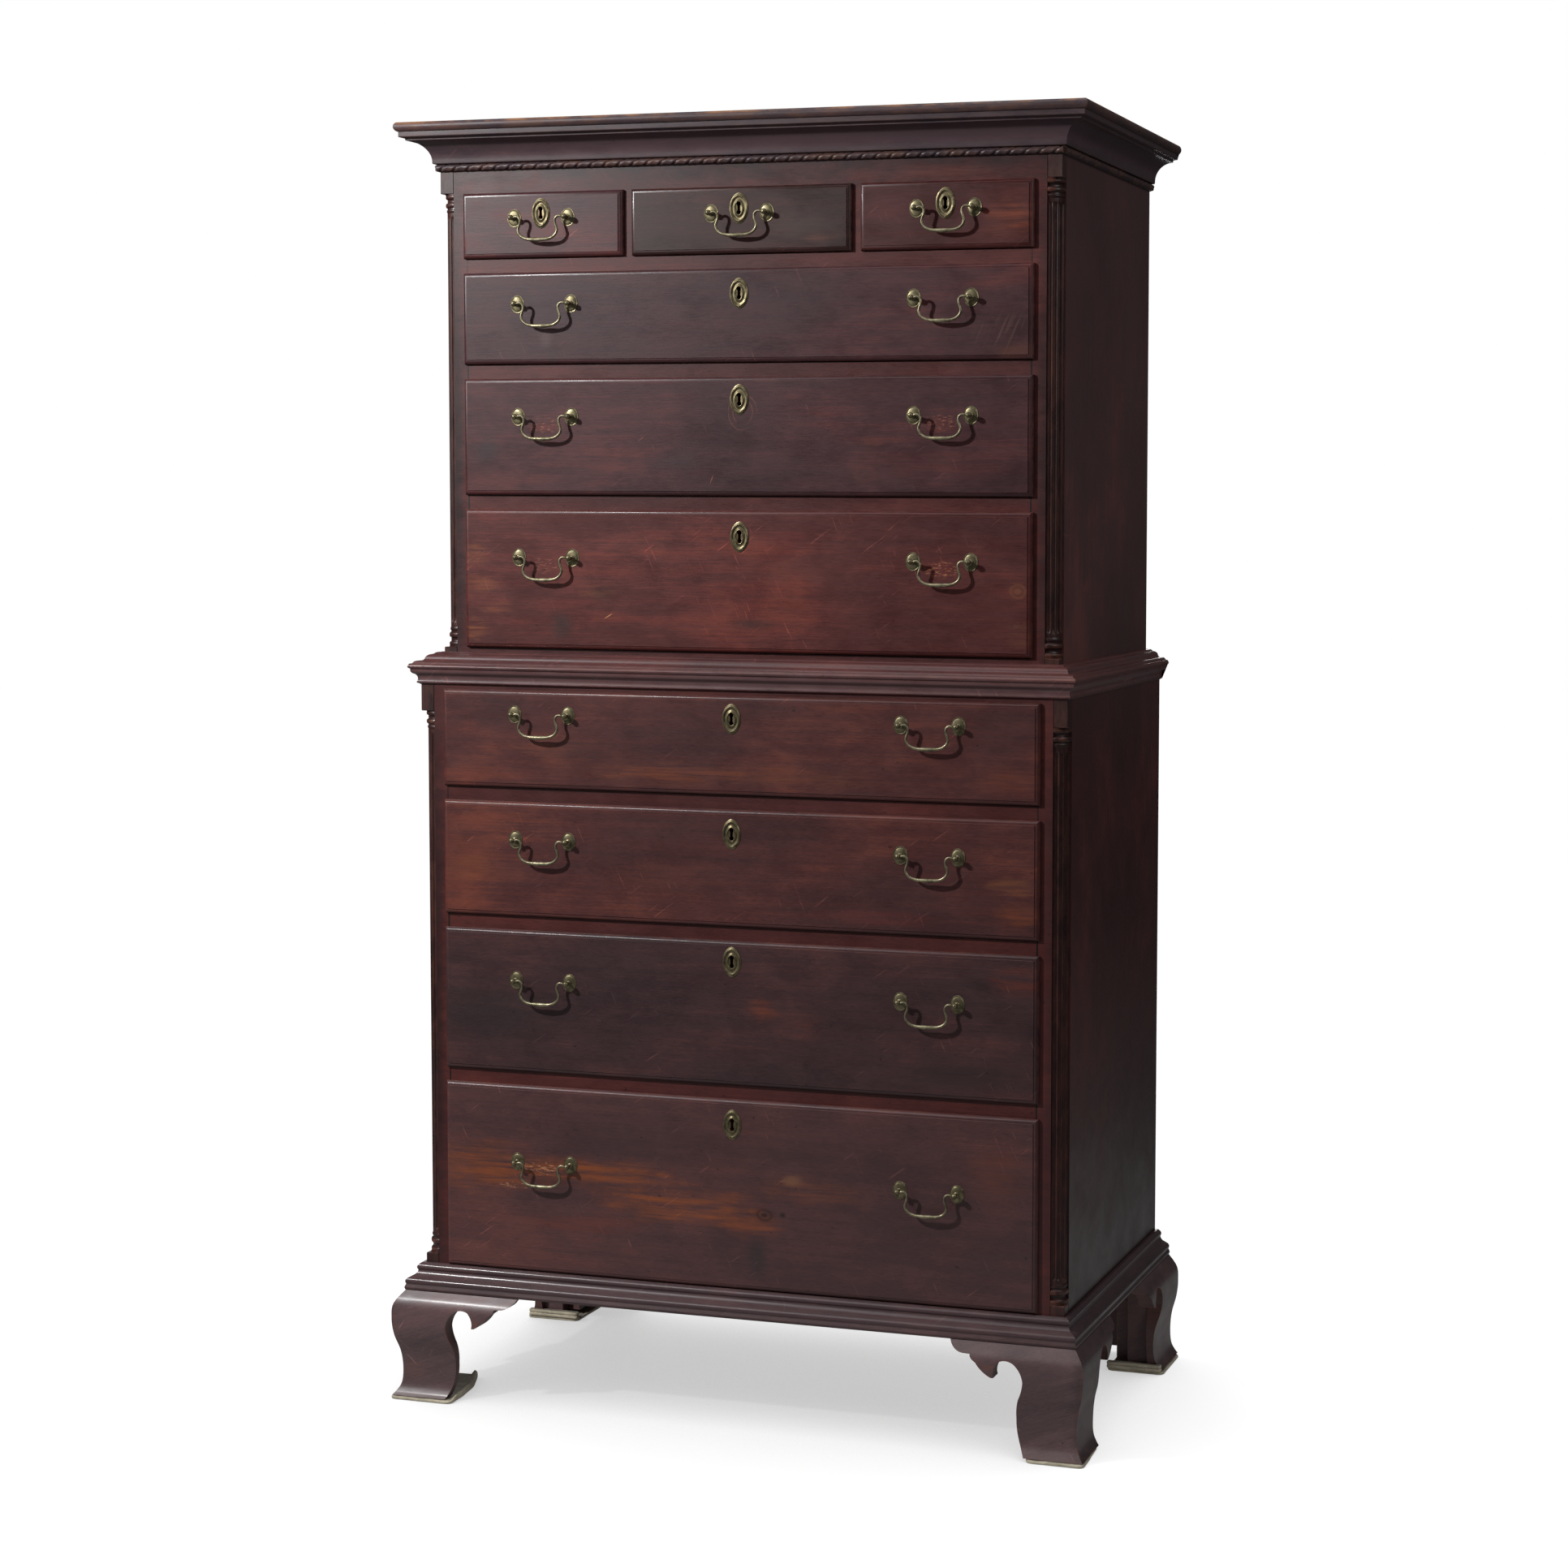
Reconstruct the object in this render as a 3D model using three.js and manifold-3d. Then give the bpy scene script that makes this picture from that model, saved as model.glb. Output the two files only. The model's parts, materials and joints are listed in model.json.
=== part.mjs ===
import * as THREE from "three";
import { mergeVertices } from "three/addons/utils/BufferGeometryUtils.js";
import Module from "manifold-3d";

// A chest on chest of the eighteenth century: a lower case of four long drawers on ogee bracket
// feet, and an upper case of three small and three long drawers that stands in the waist moulding
// and carries a cove cornice. All sizes are real sizes in millimetres. X runs to the right, Y to
// the back and Z up. The origin is on the floor, under the middle of the whole piece.

// Sizes of the two cases
const LOWER_WIDTH = 1040;
const UPPER_SIDE_SETBACK = 23;
const UPPER_FRONT_SETBACK = 33;
const UPPER_WIDTH = LOWER_WIDTH - 2 * UPPER_SIDE_SETBACK;
const CASE_DEPTH = 542;
const BASE_HEIGHT = 170;
const SIDE_THICKNESS = 22;
const BACK_THICKNESS = 12;
const BOARD_THICKNESS = 20;
const JOINT_GAP = 0.3;

// Sizes of the drawer frames
const STILE_WIDTH = 22.5;
const STILE_DEPTH = 45;
const BLADE_HEIGHT = 25;
const BLADE_DEPTH = 70;
const RAIL_DEPTH = 24;
const LOWER_BOTTOM_RAIL = 41;
const LOWER_TOP_RAIL = 41;
const UPPER_BOTTOM_RAIL = 25;
const FRIEZE_HEIGHT = 106.5;
const DIVIDER_WIDTH = 22;
const RUNNER_WIDTH = 40;
const RUNNER_HEIGHT = 22;
const GUIDE_HEIGHT = 18;

// Heights of the drawer fronts, from the foot of each case upwards
const LOWER_FRONT_1_HEIGHT = 289;
const LOWER_FRONT_2_HEIGHT = 219;
const LOWER_FRONT_3_HEIGHT = 176;
const LOWER_FRONT_4_HEIGHT = 149;
const UPPER_FRONT_1_HEIGHT = 213;
const UPPER_FRONT_2_HEIGHT = 177.5;
const UPPER_FRONT_3_HEIGHT = 139;
const SMALL_FRONT_HEIGHT = 99;
const SMALL_CENTRE_OPENING = 344;

// Sizes of one drawer
const LIP_OVERLAP = 4;
const LIP_THICKNESS = 9;
const LIP_FOOT_GAP = 1;
const THUMB_WIDTH = 6.5;
const THUMB_EDGE = 2.4;
const THUMB_STEP = 1.1;
const FRONT_BODY = 14;
const DRAWER_SIDE = 12;
const DRAWER_BACK = 12;
const DRAWER_BOTTOM = 9;
const BOTTOM_RAISE = 8;
const SLIDE_GAP = 1.5;
const DRAWER_TOP_GAP = 3;
const DRAWER_BACK_GAP = 16;
const TAIL_LENGTH = 11;
const TAIL_PITCH = 84;

// Sizes of the brasses
const BAIL_SPACING = 89;
const BAIL_DROP = 34;
const BAIL_RADIUS = 1.6;
const POST_REACH = 13;
const POST_RADIUS = 2.3;
const BALL_RADIUS = 3.7;
const ROSETTE_WIDTH = 20.5;
const ROSETTE_HEIGHT = 30.5;
const ROSETTE_DOME = 3.2;
const ESCUTCHEON_WIDTH = 30;
const ESCUTCHEON_HEIGHT = 46;
const ESCUTCHEON_RISE = 2.4;
const KEYHOLE_HEIGHT = 19;
const KEYHOLE_WIDTH = 7;
const KEYHOLE_NECK = 4.5;

// From the end of an opening to the middle of the bail next to it
const UPPER_BAIL_PLACE = 133.5;
const LOWER_BAIL_PLACE = 163.5;

// Sizes of the quarter columns
const COLUMN_RADIUS = 22;
const SHAFT_RADIUS = 19.5;
const FLUTE_COUNT = 4;
const FLUTE_DEPTH = 2;
const TURNED_BASE_HEIGHT = 33;
const CAPITAL_HEIGHT = 30;
const PLINTH_SHOW = 14.5;
const UPPER_PLINTH_SHOW = 7;
const UPPER_BLOCK_SHOW = 33;
const LOWER_BLOCK_SHOW = 41;

// Sizes of the mouldings
const CORNICE_REACH = 52;
const CORNICE_HEIGHT = 71.5;
const CORNICE_STAND = 3;
const WAIST_REACH = 15;
const WAIST_HEIGHT = 31;
const WAIST_RISE = 18.5;
const WAIST_CLEARANCE = 0.6;
const BASE_REACH = 25.5;
const BASE_MOULDING_HEIGHT = 40.5;

// Sizes of the feet and their pads
const FOOT_REACH = 40;
const BRACKET_BACK = 16;
const BRACKET_LENGTH = 168;
const REAR_LEG_EXTRA = 52;
const REAR_BOARD_LENGTH = 130;
const REAR_BOARD_THICKNESS = 22;
const REAR_BOARD_LIFT = 9;
const GLUE_BLOCK = 28;
const REAR_BLOCK = 19;
const REAR_BLOCK_DEPTH = 101;
const BACK_BLOCK = 42;
const BACK_BLOCK_DEPTH = 83;
const GLUE_BLOCK_LIFT = 6;

// The felt pads are cut by hand, so each reaches in from the corner of the case by its own measure
const PAD_THICKNESS = 6;
const PAD_OVERHANG = 4;
const PAD_CORNER = 12;
const RIGHT_PAD_ACROSS = 54;
const RIGHT_PAD_ALONG = 56;
const LEFT_PAD_ACROSS = 66;
const LEFT_PAD_ALONG = 98;
const REAR_PAD_ACROSS = 52;
const REAR_PAD_ALONG = 115;
const REAR_PAD_FOLD = 17;
const REAR_PAD_FOLD_THICKNESS = 6;

// One overrun serves every cut and every joint that is let into its neighbour
const OVERRUN = 1;

// Steps of the round stretches
const ARC_STEPS = 3;
const COVE_STEPS = 7;
const FOOT_CURVE_STEPS = 12;
const QUARTER_STEPS = 4;
const ROSETTE_SIDES = 8;
const POST_SIDES = 5;
const ESCUTCHEON_SIDES = 10;
const BAIL_SIDES = 5;

// Heights of the case lines
const lowerTop = BASE_HEIGHT + LOWER_BOTTOM_RAIL + LOWER_TOP_RAIL + stackHeight([
  LOWER_FRONT_1_HEIGHT,
  LOWER_FRONT_2_HEIGHT,
  LOWER_FRONT_3_HEIGHT,
  LOWER_FRONT_4_HEIGHT,
]);
const upperFoot = lowerTop + JOINT_GAP;
const upperTop = upperFoot + UPPER_BOTTOM_RAIL + FRIEZE_HEIGHT + stackHeight([
  UPPER_FRONT_1_HEIGHT,
  UPPER_FRONT_2_HEIGHT,
  UPPER_FRONT_3_HEIGHT,
  SMALL_FRONT_HEIGHT,
]);
const boxBack = CASE_DEPTH - BACK_THICKNESS - DRAWER_BACK_GAP;

const wasm = await Module();
wasm.setup();

// Materials
const wood = new THREE.MeshStandardMaterial({ color: 0x4a1f17, roughness: 0.42, metalness: 0 });
const sideWood = new THREE.MeshStandardMaterial({ color: 0x3a1a15, roughness: 0.5, metalness: 0 });
const insideWood = new THREE.MeshStandardMaterial({ color: 0x9a7448, roughness: 0.8, metalness: 0 });
const brass = new THREE.MeshStandardMaterial({ color: 0x7d6a3c, roughness: 0.35, metalness: 0.9 });
const felt = new THREE.MeshStandardMaterial({ color: 0xb9ae8c, roughness: 0.95, metalness: 0 });

// Height of the opening that a lipped front of this height covers
function openingHeight(frontHeight) {
  return frontHeight - LIP_OVERLAP + LIP_FOOT_GAP;
}

// Height of a stack of openings with a blade between each two
function stackHeight(frontHeights) {
  const openings = frontHeights.reduce((sum, height) => sum + openingHeight(height), 0);
  return openings + (frontHeights.length - 1) * BLADE_HEIGHT;
}

// Solids and their joins

function toSolid(geometry) {
  const bare = geometry.clone();
  bare.deleteAttribute("normal");
  bare.deleteAttribute("uv");
  const merged = mergeVertices(bare);
  const mesh = new wasm.Mesh({
    numProp: 3,
    vertProperties: new Float32Array(merged.attributes.position.array),
    triVerts: new Uint32Array(merged.index.array),
  });
  return new wasm.Manifold(mesh);
}

function toGeometry(solid) {
  const { vertProperties, triVerts } = solid.getMesh();
  const geometry = new THREE.BufferGeometry();
  geometry.setAttribute("position", new THREE.BufferAttribute(new Float32Array(vertProperties), 3));
  geometry.setIndex(new THREE.BufferAttribute(new Uint32Array(triVerts), 1));
  geometry.computeVertexNormals();
  return geometry;
}

function join(geometries) {
  const solids = geometries.map(toSolid);
  return toGeometry(solids.reduce((whole, solid) => whole.add(solid)));
}

function cut(geometry, cutters) {
  const left = cutters.map(toSolid).reduce((whole, cutter) => whole.subtract(cutter), toSolid(geometry));
  return toGeometry(left);
}

// The same shape on the other side of the middle plane
function mirrored(geometry) {
  const flipped = geometry.index ? geometry.toNonIndexed() : geometry.clone();
  flipped.scale(-1, 1, 1);
  const place = flipped.attributes.position;
  for (let corner = 0; corner < place.count; corner += 3) {
    const kept = new THREE.Vector3().fromBufferAttribute(place, corner + 1);
    const moved = new THREE.Vector3().fromBufferAttribute(place, corner + 2);
    place.setXYZ(corner + 1, moved.x, moved.y, moved.z);
    place.setXYZ(corner + 2, kept.x, kept.y, kept.z);
  }
  return toGeometry(toSolid(flipped));
}

// A board between two corners
function board(from, to) {
  const body = new THREE.BoxGeometry(1, 1, 1);
  const place = body.attributes.position;
  for (let index = 0; index < place.count; index += 1) {
    const x = place.getX(index) < 0 ? from[0] : to[0];
    const y = place.getY(index) < 0 ? from[1] : to[1];
    const z = place.getZ(index) < 0 ? from[2] : to[2];
    place.setXYZ(index, x, y, z);
  }
  return body;
}

// An outline pushed along one axis. The outline's two numbers are (y, z) for x, (x, z) for y and
// (x, y) for z.
function prism(outline, axis, from, to) {
  const shape = new THREE.Shape(outline.map(([a, b]) => new THREE.Vector2(a, b)));
  const body = new THREE.ExtrudeGeometry(shape, { depth: to - from, bevelEnabled: false });
  const turn = new THREE.Matrix4();
  const right = new THREE.Vector3(1, 0, 0);
  const back = new THREE.Vector3(0, 1, 0);
  const up = new THREE.Vector3(0, 0, 1);
  if (axis === "x") {
    turn.makeBasis(back, up, right);
    return body.applyMatrix4(turn).translate(from, 0, 0);
  }
  if (axis === "y") {
    turn.makeBasis(right, up, back.clone().negate());
    return body.applyMatrix4(turn).translate(0, to, 0);
  }
  return body.translate(0, 0, from);
}

// A closed skin through loops of points that all have the same count, with flat ends
function loft(loops) {
  const count = loops[0].length;
  const places = loops.flat().flatMap((point) => [point.x, point.y, point.z]);
  const faces = [];
  for (let ring = 0; ring + 1 < loops.length; ring += 1) {
    for (let step = 0; step < count; step += 1) {
      const near = ring * count + step;
      const next = ring * count + ((step + 1) % count);
      faces.push(near, next, next + count, near, next + count, near + count);
    }
  }
  const last = (loops.length - 1) * count;
  for (const [a, b, c] of capFaces(loops[0])) faces.push(a, c, b);
  for (const [a, b, c] of capFaces(loops[loops.length - 1])) faces.push(last + a, last + b, last + c);
  const geometry = new THREE.BufferGeometry();
  geometry.setAttribute("position", new THREE.Float32BufferAttribute(places, 3));
  geometry.setIndex(signedVolume(places, faces) < 0 ? faces.reverse() : faces);
  return geometry;
}

// Triangles of a flat loop, turned the way in which the loop runs
function capFaces(loop) {
  const normal = new THREE.Vector3();
  loop.forEach((point, index) => {
    const next = loop[(index + 1) % loop.length];
    normal.add(new THREE.Vector3().crossVectors(point, next));
  });
  const across = new THREE.Vector3().subVectors(loop[1], loop[0]).normalize();
  const along = new THREE.Vector3().crossVectors(normal, across).normalize();
  const flat = loop.map((point) => new THREE.Vector2(point.dot(across), point.dot(along)));
  return THREE.ShapeUtils.triangulateShape(flat, []);
}

function signedVolume(places, faces) {
  const corner = (index) => new THREE.Vector3().fromArray(places, index * 3);
  let volume = 0;
  for (let face = 0; face < faces.length; face += 3) {
    const [a, b, c] = [0, 1, 2].map((step) => corner(faces[face + step]));
    volume += a.dot(b.cross(c));
  }
  return volume;
}

// Points of a curved outline. A row is [reach share, height share, bulge share, steps]: the stretch
// that ends there is straight, or an arc whose rise is the bulge share of half its chord.
function outlineFrom(shareRows, reach, height) {
  const points = [];
  for (const [reachShare, heightShare, bulgeShare = 0, steps = ARC_STEPS] of shareRows) {
    const end = new THREE.Vector2(reachShare * reach, heightShare * height);
    if (bulgeShare !== 0) points.push(...arcBetween(points[points.length - 1], end, bulgeShare, steps));
    points.push(end);
  }
  return points;
}

function arcBetween(start, end, bulgeShare, steps) {
  const chord = new THREE.Vector2().subVectors(end, start);
  const half = chord.length() / 2;
  const rise = bulgeShare * half;
  const radius = (half * half + rise * rise) / (2 * rise);
  const side = new THREE.Vector2(chord.y, -chord.x).normalize();
  const middle = new THREE.Vector2().addVectors(start, end).multiplyScalar(0.5);
  const centre = middle.clone().addScaledVector(side, rise - radius);
  const turn = 4 * Math.atan(bulgeShare);
  const inner = [];
  for (let step = 1; step < steps; step += 1) {
    inner.push(start.clone().rotateAround(centre, (turn * step) / steps));
  }
  return inner;
}

// The scene graph

const chest = new THREE.Group();
const footFront = FOOT_REACH + PAD_OVERHANG;
const brassFront = LIP_THICKNESS + POST_REACH + BALL_RADIUS;
chest.position.y = (Math.max(footFront, brassFront) - CASE_DEPTH) / 2;
const lowerCase = new THREE.Group();
const upperCase = new THREE.Group();
upperCase.position.set(0, UPPER_FRONT_SETBACK, upperFoot);
lowerCase.position.set(0, 0, BASE_HEIGHT);
chest.add(lowerCase, upperCase);

function place(group, name, geometry, material) {
  const mesh = new THREE.Mesh(geometry, material);
  mesh.name = name;
  group.add(mesh);
  return mesh;
}

// The two cases. Each is written in its own frame, with its foot at zero and its front face at
// zero, and depth is its own depth.

const lower = {
  name: "lower",
  group: lowerCase,
  width: LOWER_WIDTH,
  depth: CASE_DEPTH,
  height: lowerTop - BASE_HEIGHT,
  foot: BASE_HEIGHT,
  bottomRail: LOWER_BOTTOM_RAIL,
  plinth: BASE_MOULDING_HEIGHT + PLINTH_SHOW,
  blockFoot: lowerTop - BASE_HEIGHT - WAIST_HEIGHT - LOWER_BLOCK_SHOW,
};
const upper = {
  name: "upper",
  group: upperCase,
  width: UPPER_WIDTH,
  depth: CASE_DEPTH - UPPER_FRONT_SETBACK,
  height: upperTop - upperFoot,
  foot: upperFoot,
  bottomRail: UPPER_BOTTOM_RAIL,
  plinth: WAIST_RISE + UPPER_PLINTH_SHOW,
  blockFoot: upperTop - upperFoot + CORNICE_STAND - CORNICE_HEIGHT - UPPER_BLOCK_SHOW,
};

function openingHalf(body) {
  return body.width / 2 - COLUMN_RADIUS - STILE_WIDTH;
}

// Rows of openings of a case from its foot upwards
function rowsOf(body, frontHeights) {
  let foot = body.bottomRail;
  return frontHeights.map((frontHeight) => {
    const row = { frontHeight, foot, top: foot + openingHeight(frontHeight) };
    foot = row.top + BLADE_HEIGHT;
    return row;
  });
}

const lowerRows = rowsOf(lower, [
  LOWER_FRONT_1_HEIGHT,
  LOWER_FRONT_2_HEIGHT,
  LOWER_FRONT_3_HEIGHT,
  LOWER_FRONT_4_HEIGHT,
]);
const upperRows = rowsOf(upper, [
  UPPER_FRONT_1_HEIGHT,
  UPPER_FRONT_2_HEIGHT,
  UPPER_FRONT_3_HEIGHT,
  SMALL_FRONT_HEIGHT,
]);
const smallRow = upperRows[upperRows.length - 1];

// A side board stands behind the quarter column and runs to the back
function sideBoard(body) {
  const outer = body.width / 2;
  return board([outer - SIDE_THICKNESS, COLUMN_RADIUS + JOINT_GAP, 0], [outer, body.depth, body.height]);
}

// The back lies between the two sides
function backBoard(body) {
  const half = body.width / 2 - SIDE_THICKNESS - JOINT_GAP;
  return board([-half, body.depth - BACK_THICKNESS, 0], [half, body.depth, body.height]);
}

// The frame that the drawers run in: stiles, rails, blades, runners, guides and the two boards
function drawerFrame(body, rows, dividerPlace) {
  const half = openingHalf(body);
  const inner = body.width / 2 - SIDE_THICKNESS - JOINT_GAP;
  const stileOuter = body.width / 2 - COLUMN_RADIUS - JOINT_GAP;
  const back = body.depth - BACK_THICKNESS - JOINT_GAP;
  const behindColumn = COLUMN_RADIUS + JOINT_GAP;
  const topRow = rows[rows.length - 1];
  const parts = [
    board([-half - OVERRUN, 0, 0], [half + OVERRUN, back, BOARD_THICKNESS]),
    board([-inner, behindColumn, 0], [inner, back, BOARD_THICKNESS]),
    board([-half - OVERRUN, 0, 0], [half + OVERRUN, RAIL_DEPTH, rows[0].foot]),
    board([-half - OVERRUN, 0, topRow.top], [half + OVERRUN, RAIL_DEPTH, body.height]),
    board([-inner, behindColumn, body.height - BOARD_THICKNESS], [inner, back, body.height]),
    board([-half - OVERRUN, 0, body.height - BOARD_THICKNESS], [half + OVERRUN, back, body.height]),
  ];
  const right = [
    board([half, 0, 0], [stileOuter, behindColumn + OVERRUN, body.height]),
    board([half, behindColumn, 0], [inner, STILE_DEPTH, body.height]),
  ];
  rows.forEach((row, index) => {
    const under = index === 0 ? 0 : row.foot - RUNNER_HEIGHT;
    right.push(board([half - RUNNER_WIDTH, behindColumn, under], [inner, back, row.foot]));
    right.push(board([half, behindColumn, row.foot - OVERRUN], [inner, back, row.foot + GUIDE_HEIGHT]));
  });
  const kickerTop = topRow.top + RUNNER_HEIGHT;
  right.push(board([half - RUNNER_WIDTH, behindColumn - OVERRUN, topRow.top], [inner, back, kickerTop]));
  parts.push(...right, ...right.map(mirrored));
  rows.slice(1).forEach((row, index) => {
    parts.push(board([-half - OVERRUN, 0, rows[index].top], [half + OVERRUN, BLADE_DEPTH, row.foot]));
  });
  if (dividerPlace) {
    const near = dividerPlace;
    const far = dividerPlace + DIVIDER_WIDTH;
    const reach = RUNNER_WIDTH / 2;
    const divider = [
      board([near, 0, topRow.foot - OVERRUN], [far, STILE_DEPTH, topRow.top + OVERRUN]),
      board([near - reach, RAIL_DEPTH, topRow.foot - RUNNER_HEIGHT], [far + reach, back, topRow.foot]),
      board([near, RAIL_DEPTH, topRow.foot - OVERRUN], [far, back, topRow.foot + GUIDE_HEIGHT]),
      board([near - reach, RAIL_DEPTH - OVERRUN, topRow.top], [far + reach, back, kickerTop]),
    ];
    parts.push(...divider, ...divider.map(mirrored));
  }
  return join(parts);
}

// Quarter columns

// A quarter of a round section about the inner corner of the column, in front of it and to its
// right, with a ring of points that can be drawn in for flutes
function quarterLoop(height, radii) {
  const corner = [new THREE.Vector3(0, 0, height)];
  const ring = radii.map((radius, index) => {
    const angle = (index / (radii.length - 1)) * (Math.PI / 2);
    return new THREE.Vector3(radius * Math.sin(angle), -radius * Math.cos(angle), height);
  });
  return corner.concat(ring);
}

// Rings of the turned base, from the plinth upwards, and of the capital, from the block downwards:
// [height share, radius share]
const turnedRingShares = [
  [0, 1],
  [0.22, 1],
  [0.3, 0.84],
  [0.4, 0.84],
  [0.5, 0.98],
  [0.6, 0.98],
  [0.7, 0.86],
  [0.92, 0.9],
  [1, 0.9],
];

function turnedPart(foot, height) {
  const loops = turnedRingShares.map(([heightShare, radiusShare]) => {
    const radii = new Array(QUARTER_STEPS + 1).fill(radiusShare * COLUMN_RADIUS);
    return quarterLoop(foot + heightShare * height, radii);
  });
  return loft(loops);
}

// Radii round one quarter of the fluted shaft: each flute has a flat fillet beside it
function flutedRadii() {
  const radii = [SHAFT_RADIUS];
  for (let flute = 0; flute < FLUTE_COUNT; flute += 1) {
    radii.push(SHAFT_RADIUS, SHAFT_RADIUS - FLUTE_DEPTH, SHAFT_RADIUS - FLUTE_DEPTH, SHAFT_RADIUS);
  }
  radii.push(SHAFT_RADIUS);
  return radii;
}

function quarterColumn(body) {
  const shaftFoot = body.plinth + TURNED_BASE_HEIGHT;
  const shaftTop = body.blockFoot - CAPITAL_HEIGHT;
  const shaft = loft([
    quarterLoop(shaftFoot - OVERRUN, flutedRadii()),
    quarterLoop(shaftTop + OVERRUN, flutedRadii()),
  ]);
  const column = join([
    board([0, -COLUMN_RADIUS, 0], [COLUMN_RADIUS, 0, body.plinth]),
    turnedPart(body.plinth - OVERRUN, TURNED_BASE_HEIGHT + OVERRUN),
    shaft,
    turnedPart(body.blockFoot + OVERRUN, -CAPITAL_HEIGHT - OVERRUN),
    board([0, -COLUMN_RADIUS, body.blockFoot], [COLUMN_RADIUS, 0, body.height]),
  ]);
  return column.translate(body.width / 2 - COLUMN_RADIUS, COLUMN_RADIUS, 0);
}

// Mouldings

// A moulding that runs round three sides with mitred corners. The side and front outlines hold
// [reach, height] from the case face and have the same count of points.
function moulding(sideOutline, frontOutline, halfWidth, backPlace) {
  const station = (side, atCorner) => sideOutline.map((point, index) => {
    const y = atCorner ? -frontOutline[index].x : backPlace;
    return new THREE.Vector3(side * (halfWidth + point.x), y, point.y);
  });
  return loft([station(-1, false), station(-1, true), station(1, true), station(1, false)]);
}

// From the foot of the cornice upwards: rope bead, fillet, cove, fillet, fascia and nose
const corniceShares = [
  [0.006, 0],
  [0.065, 0.013],
  [0.065, 0.158, 1, 4],
  [0.11, 0.162],
  [0.168, 0.172],
  [0.172, 0.205],
  [0.74, 0.632, -0.414, COVE_STEPS],
  [0.745, 0.674],
  [0.84, 0.686],
  [0.888, 0.7],
  [0.888, 0.802],
  [0.92, 0.807],
  [0.93, 1, 0.57, 4],
  [0.006, 1],
];

// From the lower edge of the waist moulding up to the case line: bead, cove, ovolo and nose
const waistFaceShares = [
  [0.02, 0],
  [0.2, 0.06],
  [0.27, 0.17, 0.8, 3],
  [0.25, 0.22],
  [0.48, 0.52, -0.3, 3],
  [0.8, 0.66, 0.25, 2],
  [0.82, 0.79],
  [0.94, 0.81],
  [1, 0.94, 0.3, 2],
];

// From the nose of the waist moulding in to the upper case, as shares of the step between the two
// cases and of the rise above the case line: bead, ovolo and bead
const waistSlopeShares = [
  [0.955, 0.06],
  [0.87, 0.085],
  [0.72, 0.285, 0.35, 2],
  [0.6, 0.305],
  [0.53, 0.46, -0.2, 2],
  [0.34, 0.81, 0.35, 3],
  [0.272, 0.854],
  [0.1, 0.97, 0.3, 2],
  [0.06, 1],
];

// From the lower edge of the base moulding upwards: fascia, torus, ogee and bead
const baseShares = [
  [0.012, 0],
  [0.945, 0],
  [1, 0.1],
  [0.905, 0.237],
  [0.87, 0.442, 0.4, 3],
  [0.6, 0.533],
  [0.363, 0.73, -0.3, 3],
  [0.31, 0.95, 0.5, 3],
  [0.2, 1],
  [0.012, 1],
];

function waistOutline(setback) {
  const face = outlineFrom(waistFaceShares, WAIST_REACH, WAIST_HEIGHT);
  face.forEach((point) => point.set(point.x, point.y - WAIST_HEIGHT));
  const inner = WAIST_CLEARANCE - setback;
  const slope = outlineFrom(waistSlopeShares, WAIST_REACH - inner, WAIST_RISE);
  slope.forEach((point) => point.set(point.x + inner, point.y));
  const ledge = [
    new THREE.Vector2(inner, WAIST_RISE),
    new THREE.Vector2(inner, JOINT_GAP),
    new THREE.Vector2(JOINT_GAP, JOINT_GAP),
  ];
  return face.concat(slope, ledge);
}

// Ogee bracket feet

// The swell of the foot from the floor upwards: [reach share, height share]
const footSwellShares = [
  [1, 0],
  [0.88, 0.035],
  [0.75, 0.09],
  [0.69, 0.17],
  [0.69, 0.3],
  [0.76, 0.43],
  [0.93, 0.58],
  [1, 0.73],
  [0.95, 0.88],
  [0.6, 1],
];

// The sawn edge of a bracket, from the floor at the leg to the end of the bracket: leg, arch, spur
// and two lobes. The shares are of the bracket's length and of the foot's height.
const bracketShares = [
  [0.3, 0],
  [0.383, 0.341, 0.15, 4],
  [0.357, 0.524, 0.1, 3],
  [0.311, 0.684, -0.1, 2],
  [0.393, 0.843, -0.21, 3],
  [0.536, 0.852, -0.27, 3],
  [0.583, 0.739, -0.21, 3],
  [0.577, 0.705],
  [0.601, 0.705],
  [0.741, 0.83, 0.14, 3],
  [0.762, 0.846],
  [0.8, 0.901, 0.25, 2],
  [0.869, 0.904],
  [1, 1, 0.26, 3],
];

const footFloor = PAD_THICKNESS + JOINT_GAP;
const footTop = BASE_HEIGHT - JOINT_GAP;
const footHeight = footTop - footFloor;

// What is sawn away below a bracket, as [distance from the end of the bracket's corner, height]
function sawnAway() {
  const edge = outlineFrom(bracketShares, BRACKET_LENGTH, footHeight).map(({ x, y }) => [x, y + footFloor]);
  const end = edge[edge.length - 1];
  const low = footFloor - OVERRUN;
  return [
    [edge[0][0], low],
    ...edge,
    [end[0] + OVERRUN, end[1] + OVERRUN],
    [end[0] + OVERRUN, low],
  ];
}

function swellOutline() {
  const knots = footSwellShares.map(([reachShare, heightShare]) => new THREE.Vector2(
    reachShare * FOOT_REACH,
    footFloor + heightShare * footHeight,
  ));
  const swell = new THREE.SplineCurve(knots).getPoints(FOOT_CURVE_STEPS);
  return swell.concat([new THREE.Vector2(BRACKET_BACK, footTop), new THREE.Vector2(BRACKET_BACK, footFloor)]);
}

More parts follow.
